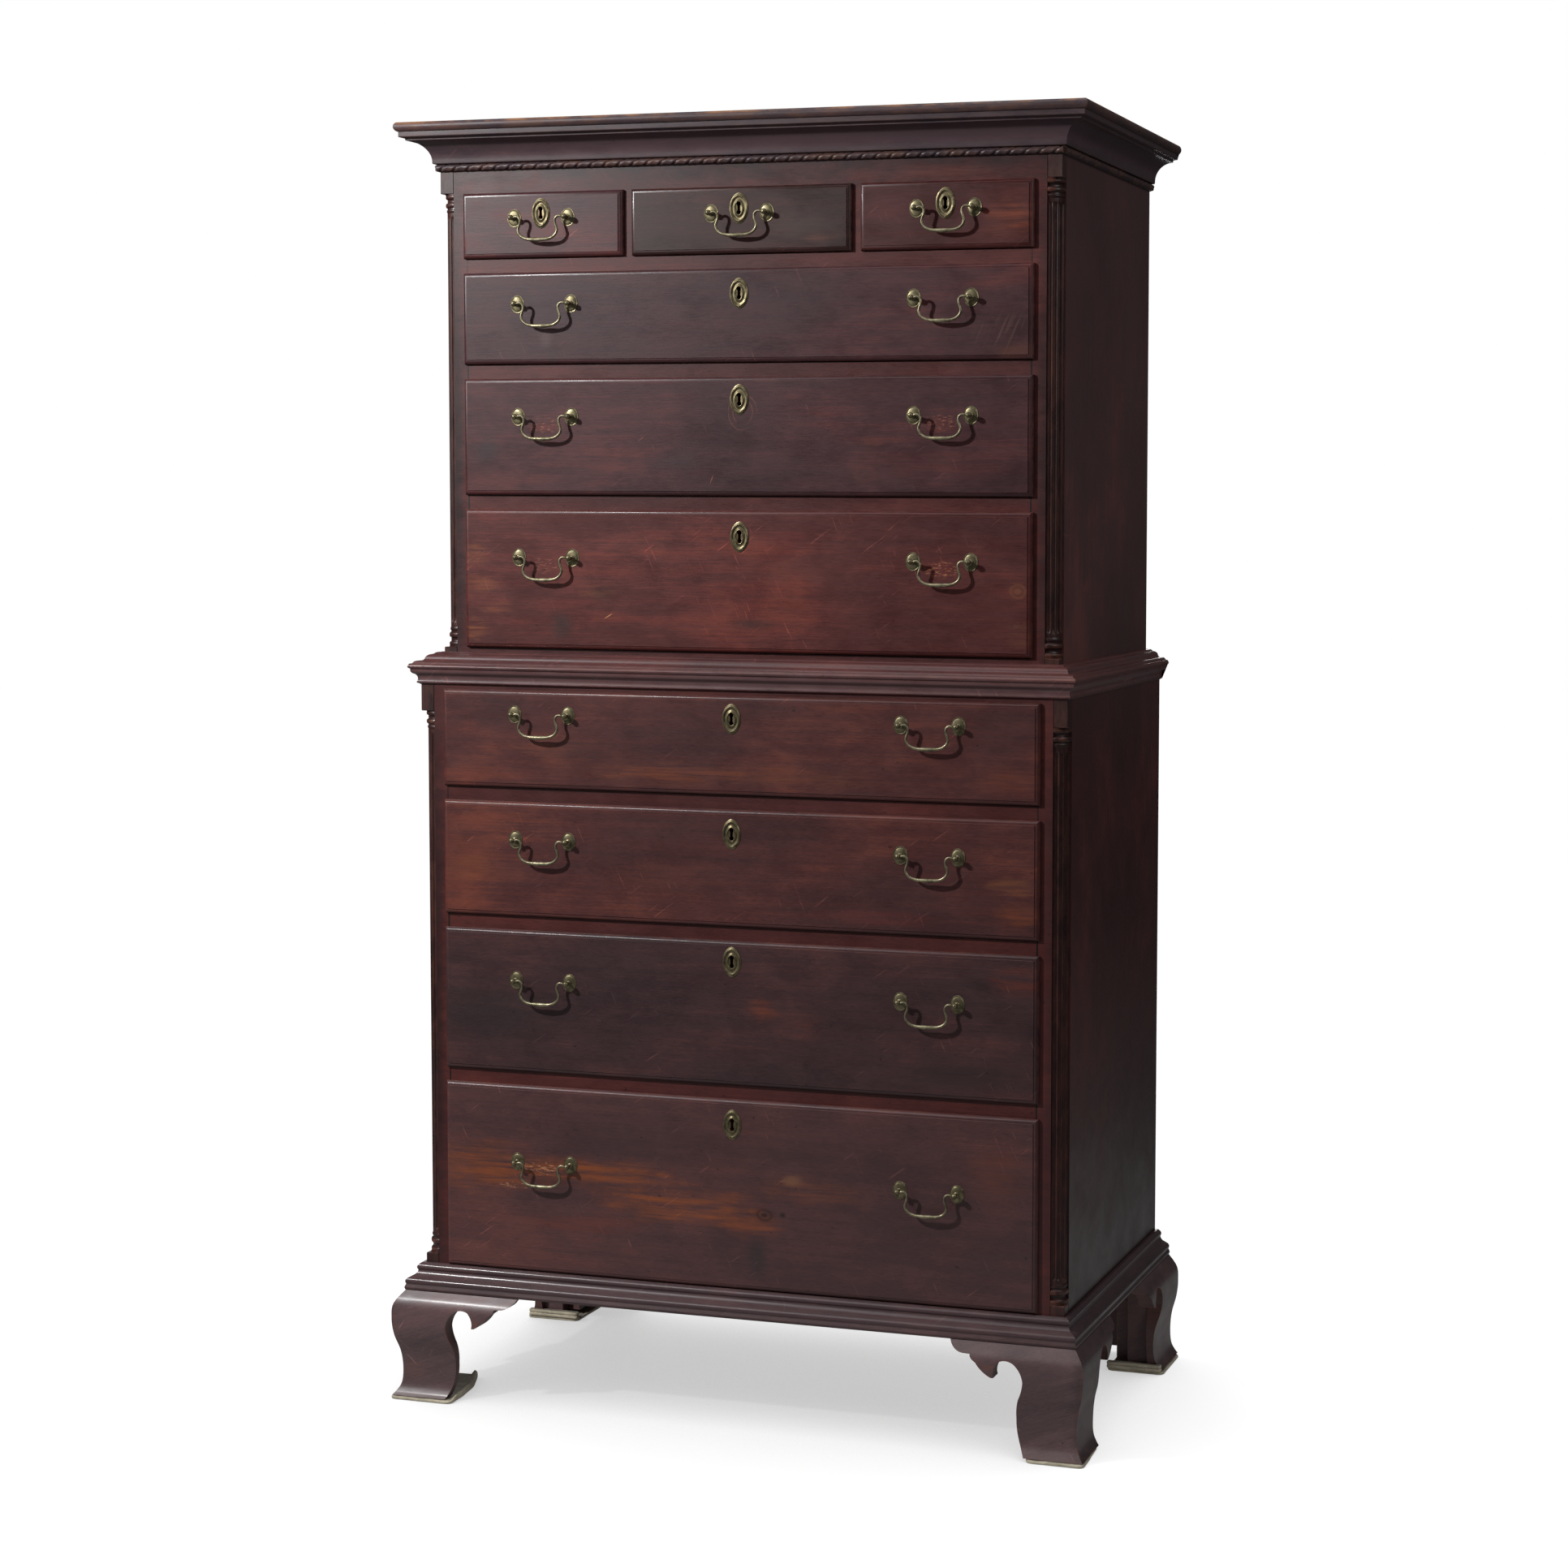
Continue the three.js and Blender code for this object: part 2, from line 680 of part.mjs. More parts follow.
// The front foot at the right: two brackets that meet in a mitre at the corner of the case, and
// the glue block behind them
function frontFoot() {
  const half = LOWER_WIDTH / 2;
  const outline = swellOutline();
  const brackets = loft([
    outline.map(({ x, y }) => new THREE.Vector3(half - BRACKET_LENGTH, -x, y)),
    outline.map(({ x, y }) => new THREE.Vector3(half + x, -x, y)),
    outline.map(({ x, y }) => new THREE.Vector3(half + x, BRACKET_LENGTH, y)),
  ]);
  const sawn = sawnAway();
  const sawnAcross = sawn.map(([a, z]) => [half - a, z]);
  const frontSawn = prism(sawnAcross, "y", -FOOT_REACH - OVERRUN, OVERRUN - BRACKET_BACK);
  const sideSawn = prism(sawn, "x", half + BRACKET_BACK - OVERRUN, half + FOOT_REACH + OVERRUN);
  const block = board(
    [half - GLUE_BLOCK, -BRACKET_BACK - OVERRUN, footFloor + GLUE_BLOCK_LIFT],
    [half + BRACKET_BACK + OVERRUN, GLUE_BLOCK, footTop],
  );
  return join([cut(brackets, [frontSawn, sideSawn]), block]);
}

// The rear foot at the right: an ogee bracket with a wider leg along the side, a plain board
// across the back and two glue blocks in the angle between them
function rearFoot() {
  const half = LOWER_WIDTH / 2;
  const outline = swellOutline();
  const legStart = CASE_DEPTH - REAR_LEG_EXTRA;
  const side = loft([
    outline.map(({ x, y }) => new THREE.Vector3(half + x, legStart - BRACKET_LENGTH, y)),
    outline.map(({ x, y }) => new THREE.Vector3(half + x, CASE_DEPTH, y)),
  ]);
  const sawn = sawnAway().map(([a, z]) => [legStart - a, z]);
  const sideSawn = prism(sawn, "x", half + BRACKET_BACK - OVERRUN, half + FOOT_REACH + OVERRUN);
  const boardFront = CASE_DEPTH - REAR_BOARD_THICKNESS;
  const boardFoot = footFloor + REAR_BOARD_LIFT;
  const blockFoot = footFloor + GLUE_BLOCK_LIFT;
  const inside = half + BRACKET_BACK + OVERRUN;
  const rear = board([half - REAR_BOARD_LENGTH, boardFront, boardFoot], [inside, CASE_DEPTH, footTop]);
  const sideBlock = board(
    [half - REAR_BLOCK, CASE_DEPTH - REAR_BLOCK_DEPTH, blockFoot],
    [inside, boardFront + OVERRUN, footTop],
  );
  const backBlock = board(
    [half - BACK_BLOCK, CASE_DEPTH - BACK_BLOCK_DEPTH, blockFoot],
    [half - REAR_BLOCK + OVERRUN, boardFront + OVERRUN, footTop],
  );
  return join([cut(side, [sideSawn]), rear, sideBlock, backBlock]);
}

// Outline of a pad between two corners, with its own corners rounded off by arcs
function padOutline(from, to) {
  const corners = [[from[0], from[1]], [to[0], from[1]], [to[0], to[1]], [from[0], to[1]]]
    .map(([x, y]) => new THREE.Vector2(x, y));
  const shape = new THREE.Shape();
  corners.forEach((corner, index) => {
    const before = corners[(index + corners.length - 1) % corners.length];
    const after = corners[(index + 1) % corners.length];
    const entry = towards(corner, before, PAD_CORNER);
    const exit = towards(corner, after, PAD_CORNER);
    if (index === 0) shape.moveTo(entry.x, entry.y);
    else shape.lineTo(entry.x, entry.y);
    shape.quadraticCurveTo(corner.x, corner.y, exit.x, exit.y);
  });
  const outline = shape.getPoints(ARC_STEPS).map(({ x, y }) => [x, y]);
  const first = outline[0];
  const last = outline[outline.length - 1];
  if (Math.hypot(first[0] - last[0], first[1] - last[1]) < JOINT_GAP) outline.pop();
  return outline;
}

function towards(corner, other, distance) {
  const way = new THREE.Vector2().subVectors(other, corner).normalize();
  return corner.clone().addScaledVector(way, distance);
}

// A front pad at the right, that reaches in from the corner of the case by the two distances
function frontPad(across, along) {
  const half = LOWER_WIDTH / 2;
  return prism(padOutline([half - across, -footFront], [half + footFront, along]), "z", 0, PAD_THICKNESS);
}

// A rear pad at the right: its felt is folded up in front of the leg
function rearPad() {
  const half = LOWER_WIDTH / 2;
  const front = CASE_DEPTH - REAR_PAD_ALONG;
  const outline = padOutline([half - REAR_PAD_ACROSS, front], [half + footFront, CASE_DEPTH]);
  const felted = prism(outline, "z", 0, REAR_PAD_FOLD);
  const above = board(
    [half - REAR_PAD_ACROSS - OVERRUN, front + REAR_PAD_FOLD_THICKNESS, PAD_THICKNESS],
    [half + footFront + OVERRUN, CASE_DEPTH + OVERRUN, REAR_PAD_FOLD + OVERRUN],
  );
  return cut(felted, [above]);
}

// Drawers. Each is written in its own frame: its origin is the middle of the lower edge of its
// opening, in the plane of the case front.

// Dovetails of one corner: [middle height, half width at the neck, half width at the end]
const tailNeckShare = 0.27;
const tailEndShare = 0.36;

function dovetails(foot, top) {
  const count = Math.max(2, Math.round((top - foot) / TAIL_PITCH));
  const pitch = (top - foot) / count;
  return Array.from({ length: count }, (_, index) => ({
    middle: foot + (index + 0.5) * pitch,
    neck: tailNeckShare * pitch,
    end: tailEndShare * pitch,
  }));
}

// A tail's outline in (y, z), grown by a clearance for its socket
function tailOutline(tail, neckPlace, endPlace, clearance) {
  return [
    [neckPlace, tail.middle - tail.neck - clearance],
    [endPlace, tail.middle - tail.end - clearance],
    [endPlace, tail.middle + tail.end + clearance],
    [neckPlace, tail.middle + tail.neck + clearance],
  ];
}

// The thumb-moulded edge round a front: [inset, rise in front of the case]
function thumbRings() {
  const crown = LIP_THICKNESS - THUMB_STEP;
  const rings = [
    [0, JOINT_GAP],
    [0, THUMB_EDGE],
  ];
  for (let step = 1; step <= ARC_STEPS; step += 1) {
    const angle = (step / ARC_STEPS) * (Math.PI / 2);
    const inset = THUMB_WIDTH * (1 - Math.cos(angle));
    rings.push([inset, THUMB_EDGE + (crown - THUMB_EDGE) * Math.sin(angle)]);
  }
  rings.push([THUMB_WIDTH + JOINT_GAP, LIP_THICKNESS]);
  return rings;
}

function lippedPlate(size) {
  const half = size.opening / 2 + LIP_OVERLAP;
  const foot = LIP_FOOT_GAP;
  const top = size.height + LIP_OVERLAP;
  const loops = thumbRings().map(([inset, rise]) => [
    new THREE.Vector3(-half + inset, -rise, foot + inset),
    new THREE.Vector3(half - inset, -rise, foot + inset),
    new THREE.Vector3(half - inset, -rise, top - inset),
    new THREE.Vector3(-half + inset, -rise, top - inset),
  ]);
  return loft(loops);
}

// A turned shape that stands out from the drawer face towards the front. A row is [radius, rise].
function turnedBrass(rows, sides) {
  const outline = rows.map(([radius, rise]) => new THREE.Vector2(radius, rise));
  const shape = new THREE.LatheGeometry(outline, sides);
  return shape.rotateX(Math.PI);
}

// Rings of the rosette's dome: [radius share, rise share]
const domeShares = [
  [1, 0.25],
  [0.72, 0.8],
  [0, 1],
];

// Rings of the ball on its post: [radius share, rise share from the middle of the ball]
const ballShares = [
  [0.55, -1],
  [1, -0.25],
  [0.8, 0.65],
  [0, 1],
];

function rosetteWithPost() {
  const dome = turnedBrass([
    [0, -OVERRUN],
    [ROSETTE_HEIGHT / 2, -OVERRUN],
    ...domeShares.map(([radiusShare, riseShare]) => [
      radiusShare * (ROSETTE_HEIGHT / 2),
      riseShare * ROSETTE_DOME,
    ]),
  ], ROSETTE_SIDES).scale(ROSETTE_WIDTH / ROSETTE_HEIGHT, 1, 1);
  const post = turnedBrass([
    [0, 0],
    [POST_RADIUS, 0],
    ...ballShares.map(([radiusShare, riseShare]) => [
      radiusShare * BALL_RADIUS,
      POST_REACH + riseShare * BALL_RADIUS,
    ]),
  ], POST_SIDES);
  return join([dome, post]);
}

// Rings of the escutcheon: [size share, rise share]
const escutcheonShares = [
  [1, 0.4],
  [0.86, 1],
  [0.66, 0.45],
  [0.5, 0.85],
];

function ovalLoop(sizeShare, rise) {
  return Array.from({ length: ESCUTCHEON_SIDES }, (_, index) => {
    const angle = (index / ESCUTCHEON_SIDES) * 2 * Math.PI;
    return new THREE.Vector3(
      sizeShare * (ESCUTCHEON_WIDTH / 2) * Math.sin(angle),
      -rise,
      sizeShare * (ESCUTCHEON_HEIGHT / 2) * Math.cos(angle),
    );
  });
}

function escutcheon() {
  const loops = escutcheonShares.map(
    ([sizeShare, riseShare]) => ovalLoop(sizeShare, riseShare * ESCUTCHEON_RISE),
  );
  return loft([ovalLoop(1, -OVERRUN), ...loops]);
}

// The keyhole has round ends and a narrower neck between them
function keyhole() {
  const round = KEYHOLE_WIDTH / 2;
  const centre = KEYHOLE_HEIGHT / 2 - round;
  const neckAngle = Math.asin(KEYHOLE_NECK / KEYHOLE_WIDTH);
  const end = [];
  const sweep = Math.PI - neckAngle;
  for (let step = 0; step <= ARC_STEPS + 1; step += 1) {
    const angle = sweep - (2 * sweep * step) / (ARC_STEPS + 1);
    end.push([round * Math.sin(angle), centre + round * Math.cos(angle)]);
  }
  const outline = end.concat(end.map(([x, z]) => [-x, -z]));
  return prism(outline, "y", -LIP_THICKNESS - ESCUTCHEON_RISE - OVERRUN, FRONT_BODY + OVERRUN);
}

function drawerFront(size) {
  const half = size.opening / 2 - SLIDE_GAP;
  const foot = JOINT_GAP;
  const top = size.height - DRAWER_TOP_GAP;
  const solid = board([-half, -LIP_THICKNESS / 2, foot + LIP_FOOT_GAP], [half, FRONT_BODY, top]);
  const brasses = size.bails.flatMap((middle) => [-1, 1].map((side) => rosetteWithPost().translate(
    middle + (side * BAIL_SPACING) / 2,
    -LIP_THICKNESS,
    size.bailHeight,
  )));
  const plate = escutcheon().translate(0, -LIP_THICKNESS, size.keyHeight);
  const sockets = dovetails(foot, top).flatMap((tail) => {
    const neckPlace = FRONT_BODY + OVERRUN;
    const endPlace = FRONT_BODY - TAIL_LENGTH - JOINT_GAP;
    const grow = (tail.end - tail.neck) * (OVERRUN / TAIL_LENGTH);
    const wide = { ...tail, neck: tail.neck - grow };
    const outline = tailOutline(wide, neckPlace, endPlace, JOINT_GAP);
    const inner = half - DRAWER_SIDE - JOINT_GAP;
    const socket = prism(outline, "x", inner, half + OVERRUN);
    return [socket, mirrored(socket)];
  });
  const keyCut = keyhole().translate(0, 0, size.keyHeight);
  return cut(join([lippedPlate(size), solid, ...brasses, plate]), [...sockets, keyCut]);
}

function drawerBox(size) {
  const half = size.opening / 2 - SLIDE_GAP;
  const foot = JOINT_GAP;
  const top = size.height - DRAWER_TOP_GAP;
  const shoulder = FRONT_BODY + JOINT_GAP;
  const tailEnd = FRONT_BODY - TAIL_LENGTH;
  const sideOutline = [[size.back, foot], [shoulder, foot]];
  for (const tail of dovetails(foot, top)) {
    sideOutline.push(...tailOutline(tail, shoulder, tailEnd, 0));
  }
  sideOutline.push([shoulder, top], [size.back, top]);
  const side = prism(sideOutline, "x", half - DRAWER_SIDE, half);
  const bottomFoot = foot + BOTTOM_RAISE;
  const back = board([-half + OVERRUN, size.back - DRAWER_BACK, foot], [half - OVERRUN, size.back, top]);
  const inside = half - DRAWER_SIDE + OVERRUN;
  const bottomTop = bottomFoot + DRAWER_BOTTOM;
  const bottom = board([-inside, shoulder, bottomFoot], [inside, size.back - OVERRUN, bottomTop]);
  return join([side, mirrored(side), back, bottom]);
}

// Half of the bail from its end in the post to the middle of the grip:
// [share of half the spacing, share of the drop, share of the wire's radius]
const bailHalfShares = [
  [0.91, 0, 1],
  [0.75, -0.03, 1],
  [0.645, 0.1, 1],
  [0.71, 0.45, 1.05],
  [0.6, 0.83, 1.15],
  [0.32, 0.98, 1.35],
  [0, 1, 1.75],
];

function bail() {
  const right = bailHalfShares.map(([reachShare, dropShare, radiusShare]) => ({
    place: new THREE.Vector2(reachShare * (BAIL_SPACING / 2), -dropShare * BAIL_DROP),
    radius: radiusShare * BAIL_RADIUS,
  }));
  right[0].place.x = BAIL_SPACING / 2 - BALL_RADIUS - JOINT_GAP;
  const left = right.slice(0, -1).map(({ place: { x, y }, radius }) => ({
    place: new THREE.Vector2(-x, y),
    radius,
  }));
  const wire = [...right, ...left.reverse()];
  const loops = wire.map(({ place: middle, radius }, index) => {
    const before = wire[Math.max(index - 1, 0)].place;
    const after = wire[Math.min(index + 1, wire.length - 1)].place;
    const way = new THREE.Vector2().subVectors(after, before).normalize();
    return Array.from({ length: BAIL_SIDES }, (_, side) => {
      const angle = (side / BAIL_SIDES) * 2 * Math.PI;
      const out = radius * Math.cos(angle);
      return new THREE.Vector3(middle.x - way.y * out, radius * Math.sin(angle), middle.y + way.x * out);
    });
  });
  return loft(loops);
}

// Places of the bails and of the keyhole on a front, as shares of its height
function drawer(name, body, row, middle, opening, bailPlaces, handleShare, keyShare) {
  const group = new THREE.Group();
  group.position.set(middle, 0, row.foot);
  body.group.add(group);
  const size = {
    opening,
    height: row.top - row.foot,
    back: boxBack - (CASE_DEPTH - body.depth),
    bails: bailPlaces,
    bailHeight: LIP_FOOT_GAP + handleShare * row.frontHeight,
    keyHeight: LIP_FOOT_GAP + keyShare * row.frontHeight,
  };
  place(group, `${name}_front`, drawerFront(size), wood);
  place(group, `${name}_box`, drawerBox(size), insideWood);
  bailPlaces.forEach((bailPlace, index) => {
    const sideName = bailPlaces.length === 1 ? "" : ["_left", "_right"][index];
    const mesh = place(group, `${name}${sideName}_bail`, bail(), brass);
    mesh.position.set(bailPlace, -LIP_THICKNESS - POST_REACH, size.bailHeight);
  });
}

// Assembly of one case: sides, back, frame and quarter columns
function assembleCase(body, rows, dividerPlace) {
  const { name, group } = body;
  place(group, `${name}_right_side`, sideBoard(body), sideWood);
  place(group, `${name}_left_side`, mirrored(sideBoard(body)), sideWood);
  place(group, `${name}_back`, backBoard(body), insideWood);
  place(group, `${name}_drawer_frame`, drawerFrame(body, rows, dividerPlace), wood);
  place(group, `${name}_right_quarter_column`, quarterColumn(body), wood);
  place(group, `${name}_left_quarter_column`, mirrored(quarterColumn(body)), wood);
}

assembleCase(lower, lowerRows, 0);
assembleCase(upper, upperRows, SMALL_CENTRE_OPENING / 2);

const corniceOutline = outlineFrom(corniceShares, CORNICE_REACH, CORNICE_HEIGHT);
const cornice = moulding(corniceOutline, corniceOutline, UPPER_WIDTH / 2, upper.depth);
const corniceFoot = upper.height + CORNICE_STAND - CORNICE_HEIGHT;
place(upperCase, "cornice", cornice.translate(0, 0, corniceFoot), wood);

const waistSide = waistOutline(UPPER_SIDE_SETBACK);
const waistFront = waistOutline(UPPER_FRONT_SETBACK);
const waist = moulding(waistSide, waistFront, LOWER_WIDTH / 2, CASE_DEPTH);
place(lowerCase, "waist_moulding", waist.translate(0, 0, lower.height), wood);

const baseOutline = outlineFrom(baseShares, BASE_REACH, BASE_MOULDING_HEIGHT);
place(lowerCase, "base_moulding", moulding(baseOutline, baseOutline, LOWER_WIDTH / 2, CASE_DEPTH), wood);

place(chest, "front_right_foot", frontFoot(), wood);
place(chest, "front_left_foot", mirrored(frontFoot()), wood);
place(chest, "rear_right_foot", rearFoot(), wood);
place(chest, "rear_left_foot", mirrored(rearFoot()), wood);
place(chest, "front_right_pad", frontPad(RIGHT_PAD_ACROSS, RIGHT_PAD_ALONG), felt);
place(chest, "front_left_pad", mirrored(frontPad(LEFT_PAD_ACROSS, LEFT_PAD_ALONG)), felt);
place(chest, "rear_right_pad", rearPad(), felt);
place(chest, "rear_left_pad", mirrored(rearPad()), felt);

// Drawers of the lower case, from its foot upwards. The shares are of the front's height.
const lowerBails = [-1, 1].map((side) => side * (openingHalf(lower) - LOWER_BAIL_PLACE));
const lowerBrassShares = [
  [0.59, 0.869],
  [0.649, 0.858],
  [0.671, 0.793],
  [0.757, 0.769],
];
lowerRows.forEach((row, index) => {
  const [handleShare, keyShare] = lowerBrassShares[index];
  const name = `lower_drawer_${lowerRows.length - index}`;
  drawer(name, lower, row, 0, 2 * openingHalf(lower), lowerBails, handleShare, keyShare);
});

// Long drawers of the upper case, from its foot upwards
const upperBails = [-1, 1].map((side) => side * (openingHalf(upper) - UPPER_BAIL_PLACE));
const upperBrassShares = [
  [0.655, 0.816],
  [0.67, 0.809],
  [0.65, 0.732],
];
upperBrassShares.forEach(([handleShare, keyShare], index) => {
  const name = `upper_drawer_${upperBrassShares.length - index}`;
  drawer(name, upper, upperRows[index], 0, 2 * openingHalf(upper), upperBails, handleShare, keyShare);
});

// Small drawers of the upper case
const smallHandleShare = 0.6;
const smallKeyShare = 0.67;
const smallOuter = openingHalf(upper);
const smallInner = SMALL_CENTRE_OPENING / 2 + DIVIDER_WIDTH;
const smallSideMiddle = (smallOuter + smallInner) / 2;
const smallDrawers = [
  ["small_left_drawer", -smallSideMiddle, smallOuter - smallInner],
  ["small_centre_drawer", 0, SMALL_CENTRE_OPENING],
  ["small_right_drawer", smallSideMiddle, smallOuter - smallInner],
];
for (const [name, middle, opening] of smallDrawers) {
  drawer(name, upper, smallRow, middle, opening, [0], smallHandleShare, smallKeyShare);
}

export default chest;
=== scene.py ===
import json
import math

import bmesh
import bpy
from mathutils import Matrix, Vector, noise


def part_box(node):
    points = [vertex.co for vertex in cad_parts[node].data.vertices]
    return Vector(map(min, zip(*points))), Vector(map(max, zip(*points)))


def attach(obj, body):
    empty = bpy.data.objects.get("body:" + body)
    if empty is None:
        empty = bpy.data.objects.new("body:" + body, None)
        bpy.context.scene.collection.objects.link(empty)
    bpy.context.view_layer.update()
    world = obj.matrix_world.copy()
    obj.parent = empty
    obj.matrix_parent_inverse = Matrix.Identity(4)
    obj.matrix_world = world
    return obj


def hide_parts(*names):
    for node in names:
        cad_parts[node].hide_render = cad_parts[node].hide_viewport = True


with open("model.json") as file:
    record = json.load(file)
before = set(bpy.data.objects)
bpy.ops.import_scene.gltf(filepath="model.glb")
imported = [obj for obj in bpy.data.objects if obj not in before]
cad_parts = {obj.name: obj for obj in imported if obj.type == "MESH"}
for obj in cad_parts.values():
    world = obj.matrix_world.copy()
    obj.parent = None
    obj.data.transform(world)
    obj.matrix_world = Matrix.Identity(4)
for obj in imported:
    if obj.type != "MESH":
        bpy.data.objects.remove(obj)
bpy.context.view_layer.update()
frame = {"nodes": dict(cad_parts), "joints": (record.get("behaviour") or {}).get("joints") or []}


# Boards of the two cases: sides, drawer frames and backs. The cases are cherry under an old dark
# varnish, with pine backs that were never finished. They are the CAD solids, with grain that runs
# along each board.
def fed(tree, made, sockets):
    """Links or sets the inputs of a node. A colour is given as three numbers."""
    for name, value in sockets.items():
        socket = made.inputs[name]
        if isinstance(value, bpy.types.NodeSocket):
            tree.links.new(value, socket)
        else:
            socket.default_value = (*value, 1.0) if socket.type == "RGBA" else value
    return made


def node(tree, kind, sockets={}, **settings):
    made = tree.nodes.new(kind)
    for name, value in settings.items():
        setattr(made, name, value)
    return fed(tree, made, sockets)


def use(tree, group, sockets):
    return node(tree, "ShaderNodeGroup", sockets, node_tree=group).outputs


def reckon(tree, operation, *values, clamp=False):
    sockets = dict(enumerate(values))
    return node(tree, "ShaderNodeMath", sockets, operation=operation, use_clamp=clamp).outputs[0]


def times(tree, first, second, clamp=False):
    return reckon(tree, "MULTIPLY", first, second, clamp=clamp)


def weighed(tree, *parts):
    """The sum of values, each times its share."""
    total = times(tree, *parts[0])
    for part in parts[1:]:
        total = reckon(tree, "ADD", total, times(tree, *part))
    return total


def turned(tree, operation, *values):
    made = node(tree, "ShaderNodeVectorMath", dict(enumerate(values)), operation=operation)
    return made.outputs["Value" if operation in ("LENGTH", "DISTANCE") else "Vector"]


def tinted(tree, color, shares):
    return turned(tree, "MULTIPLY", color, shares)


def blended(tree, share, first, second):
    return node(tree, "ShaderNodeMix", {0: share, 6: first, 7: second}, data_type="RGBA").outputs[2]


def spread(tree, value, low, high, start=0.0, end=1.0):
    return node(tree, "ShaderNodeMapRange", {0: value, 1: low, 2: high, 3: start, 4: end}).outputs[0]


def clouds(tree, place, size, detail=4.0, roughness=0.55, twist=0.0):
    sockets = {"Vector": turned(tree, "MULTIPLY", place, size), "Scale": 1.0}
    sockets.update({"Detail": detail, "Roughness": roughness, "Distortion": twist})
    return node(tree, "ShaderNodeTexNoise", sockets).outputs[0]


def leaned(tree, place, angle):
    sockets = {"Vector": place, "Angle": angle}
    return node(tree, "ShaderNodeVectorRotate", sockets, rotation_type="Y_AXIS").outputs[0]


def moved(tree, taken, step):
    """The place that a group is given, moved on by its seed."""
    return turned(tree, "ADD", taken["Place"], turned(tree, "MULTIPLY", step, taken["Seed"]))


def placed(tree, turn=(0.0, 0.0, 0.0)):
    place = node(tree, "ShaderNodeTexCoord").outputs["Object"]
    if any(turn):
        place = node(tree, "ShaderNodeMapping", {"Vector": place, "Rotation": turn}).outputs[0]
    return place


def raised(tree, height, depth, strength=0.6):
    sockets = {"Height": height, "Strength": strength, "Distance": depth}
    return node(tree, "ShaderNodeBump", sockets).outputs[0]


def shader_group(name, takes, gives, make):
    """A group of nodes. make takes the tree and its inputs and gives what its outputs show."""
    tree = bpy.data.node_groups.new(name, "ShaderNodeTree")
    for direction, sockets in (("INPUT", takes), ("OUTPUT", gives)):
        for title, kind in sockets.items():
            tree.interface.new_socket(title, in_out=direction, socket_type="NodeSocket" + kind)
    fed(tree, tree.nodes.new("NodeGroupOutput"), make(tree, tree.nodes.new("NodeGroupInput").outputs))
    return tree


def wood_grain(tree, taken):
    """Grain along X of the place: wide clouds, blotches, fine streaks, a figure of waves and fibres."""
    place = moved(tree, taken, (3.7, 1.9, 5.3))
    cloud = clouds(tree, place, (2.6, 2.6, 6.0), 4.0, 0.55, 0.5)
    blotch = clouds(tree, place, (13.0, 15.0, 26.0), 4.0, 0.6, 0.4)
    streak = clouds(tree, place, (9.0, 170.0, 350.0), 4.0, 0.62, 0.25)
    fibre = clouds(tree, place, (90.0, 900.0, 1100.0), 3.0, 0.6)
    waves = node(tree, "ShaderNodeTexWave", {
        "Vector": turned(tree, "MULTIPLY", place, (0.7, 1.0, 5.0)), "Scale": 2.6, "Distortion": 9.0,
        "Detail": 2.0, "Detail Scale": 0.9, "Detail Roughness": 0.5,
    }, bands_direction="Z").outputs[0]
    tone = spread(tree, weighed(tree, (cloud, 0.5), (blotch, 0.24), (streak, 0.22)), 0.39, 0.62)
    figure = times(tree, reckon(tree, "SUBTRACT", waves, 0.5), taken["Figure"])
    tone = reckon(tree, "ADD", tone, figure, clamp=True)
    color = blended(tree, spread(tree, tone, 0.0, 0.55), taken["Dark"], taken["Middle"])
    color = blended(tree, spread(tree, tone, 0.5, 1.0), color, taken["Light"])
    fibres = ((0.5, 0.34, 0.45, (0.55, 0.5, 0.5)), (0.54, 0.7, 0.3, (1.5, 1.45, 1.4)))
    for low, high, most, shares in fibres:
        share = spread(tree, fibre, low, high, 0.0, most)
        color = blended(tree, share, color, tinted(tree, color, shares))
    rough = spread(tree, weighed(tree, (blotch, 0.6), (fibre, 0.4)), 0.38, 0.62, 0.36, 0.5)
    return {"Color": color, "Height": weighed(tree, (fibre, 0.6), (streak, 0.4)), "Rough": rough}


old_wood = shader_group(
    "old_wood",
    {"Place": "Vector", "Dark": "Color", "Middle": "Color", "Light": "Color",
     "Seed": "Float", "Figure": "Float"},
    {"Color": "Color", "Height": "Float", "Rough": "Float"}, wood_grain,
)


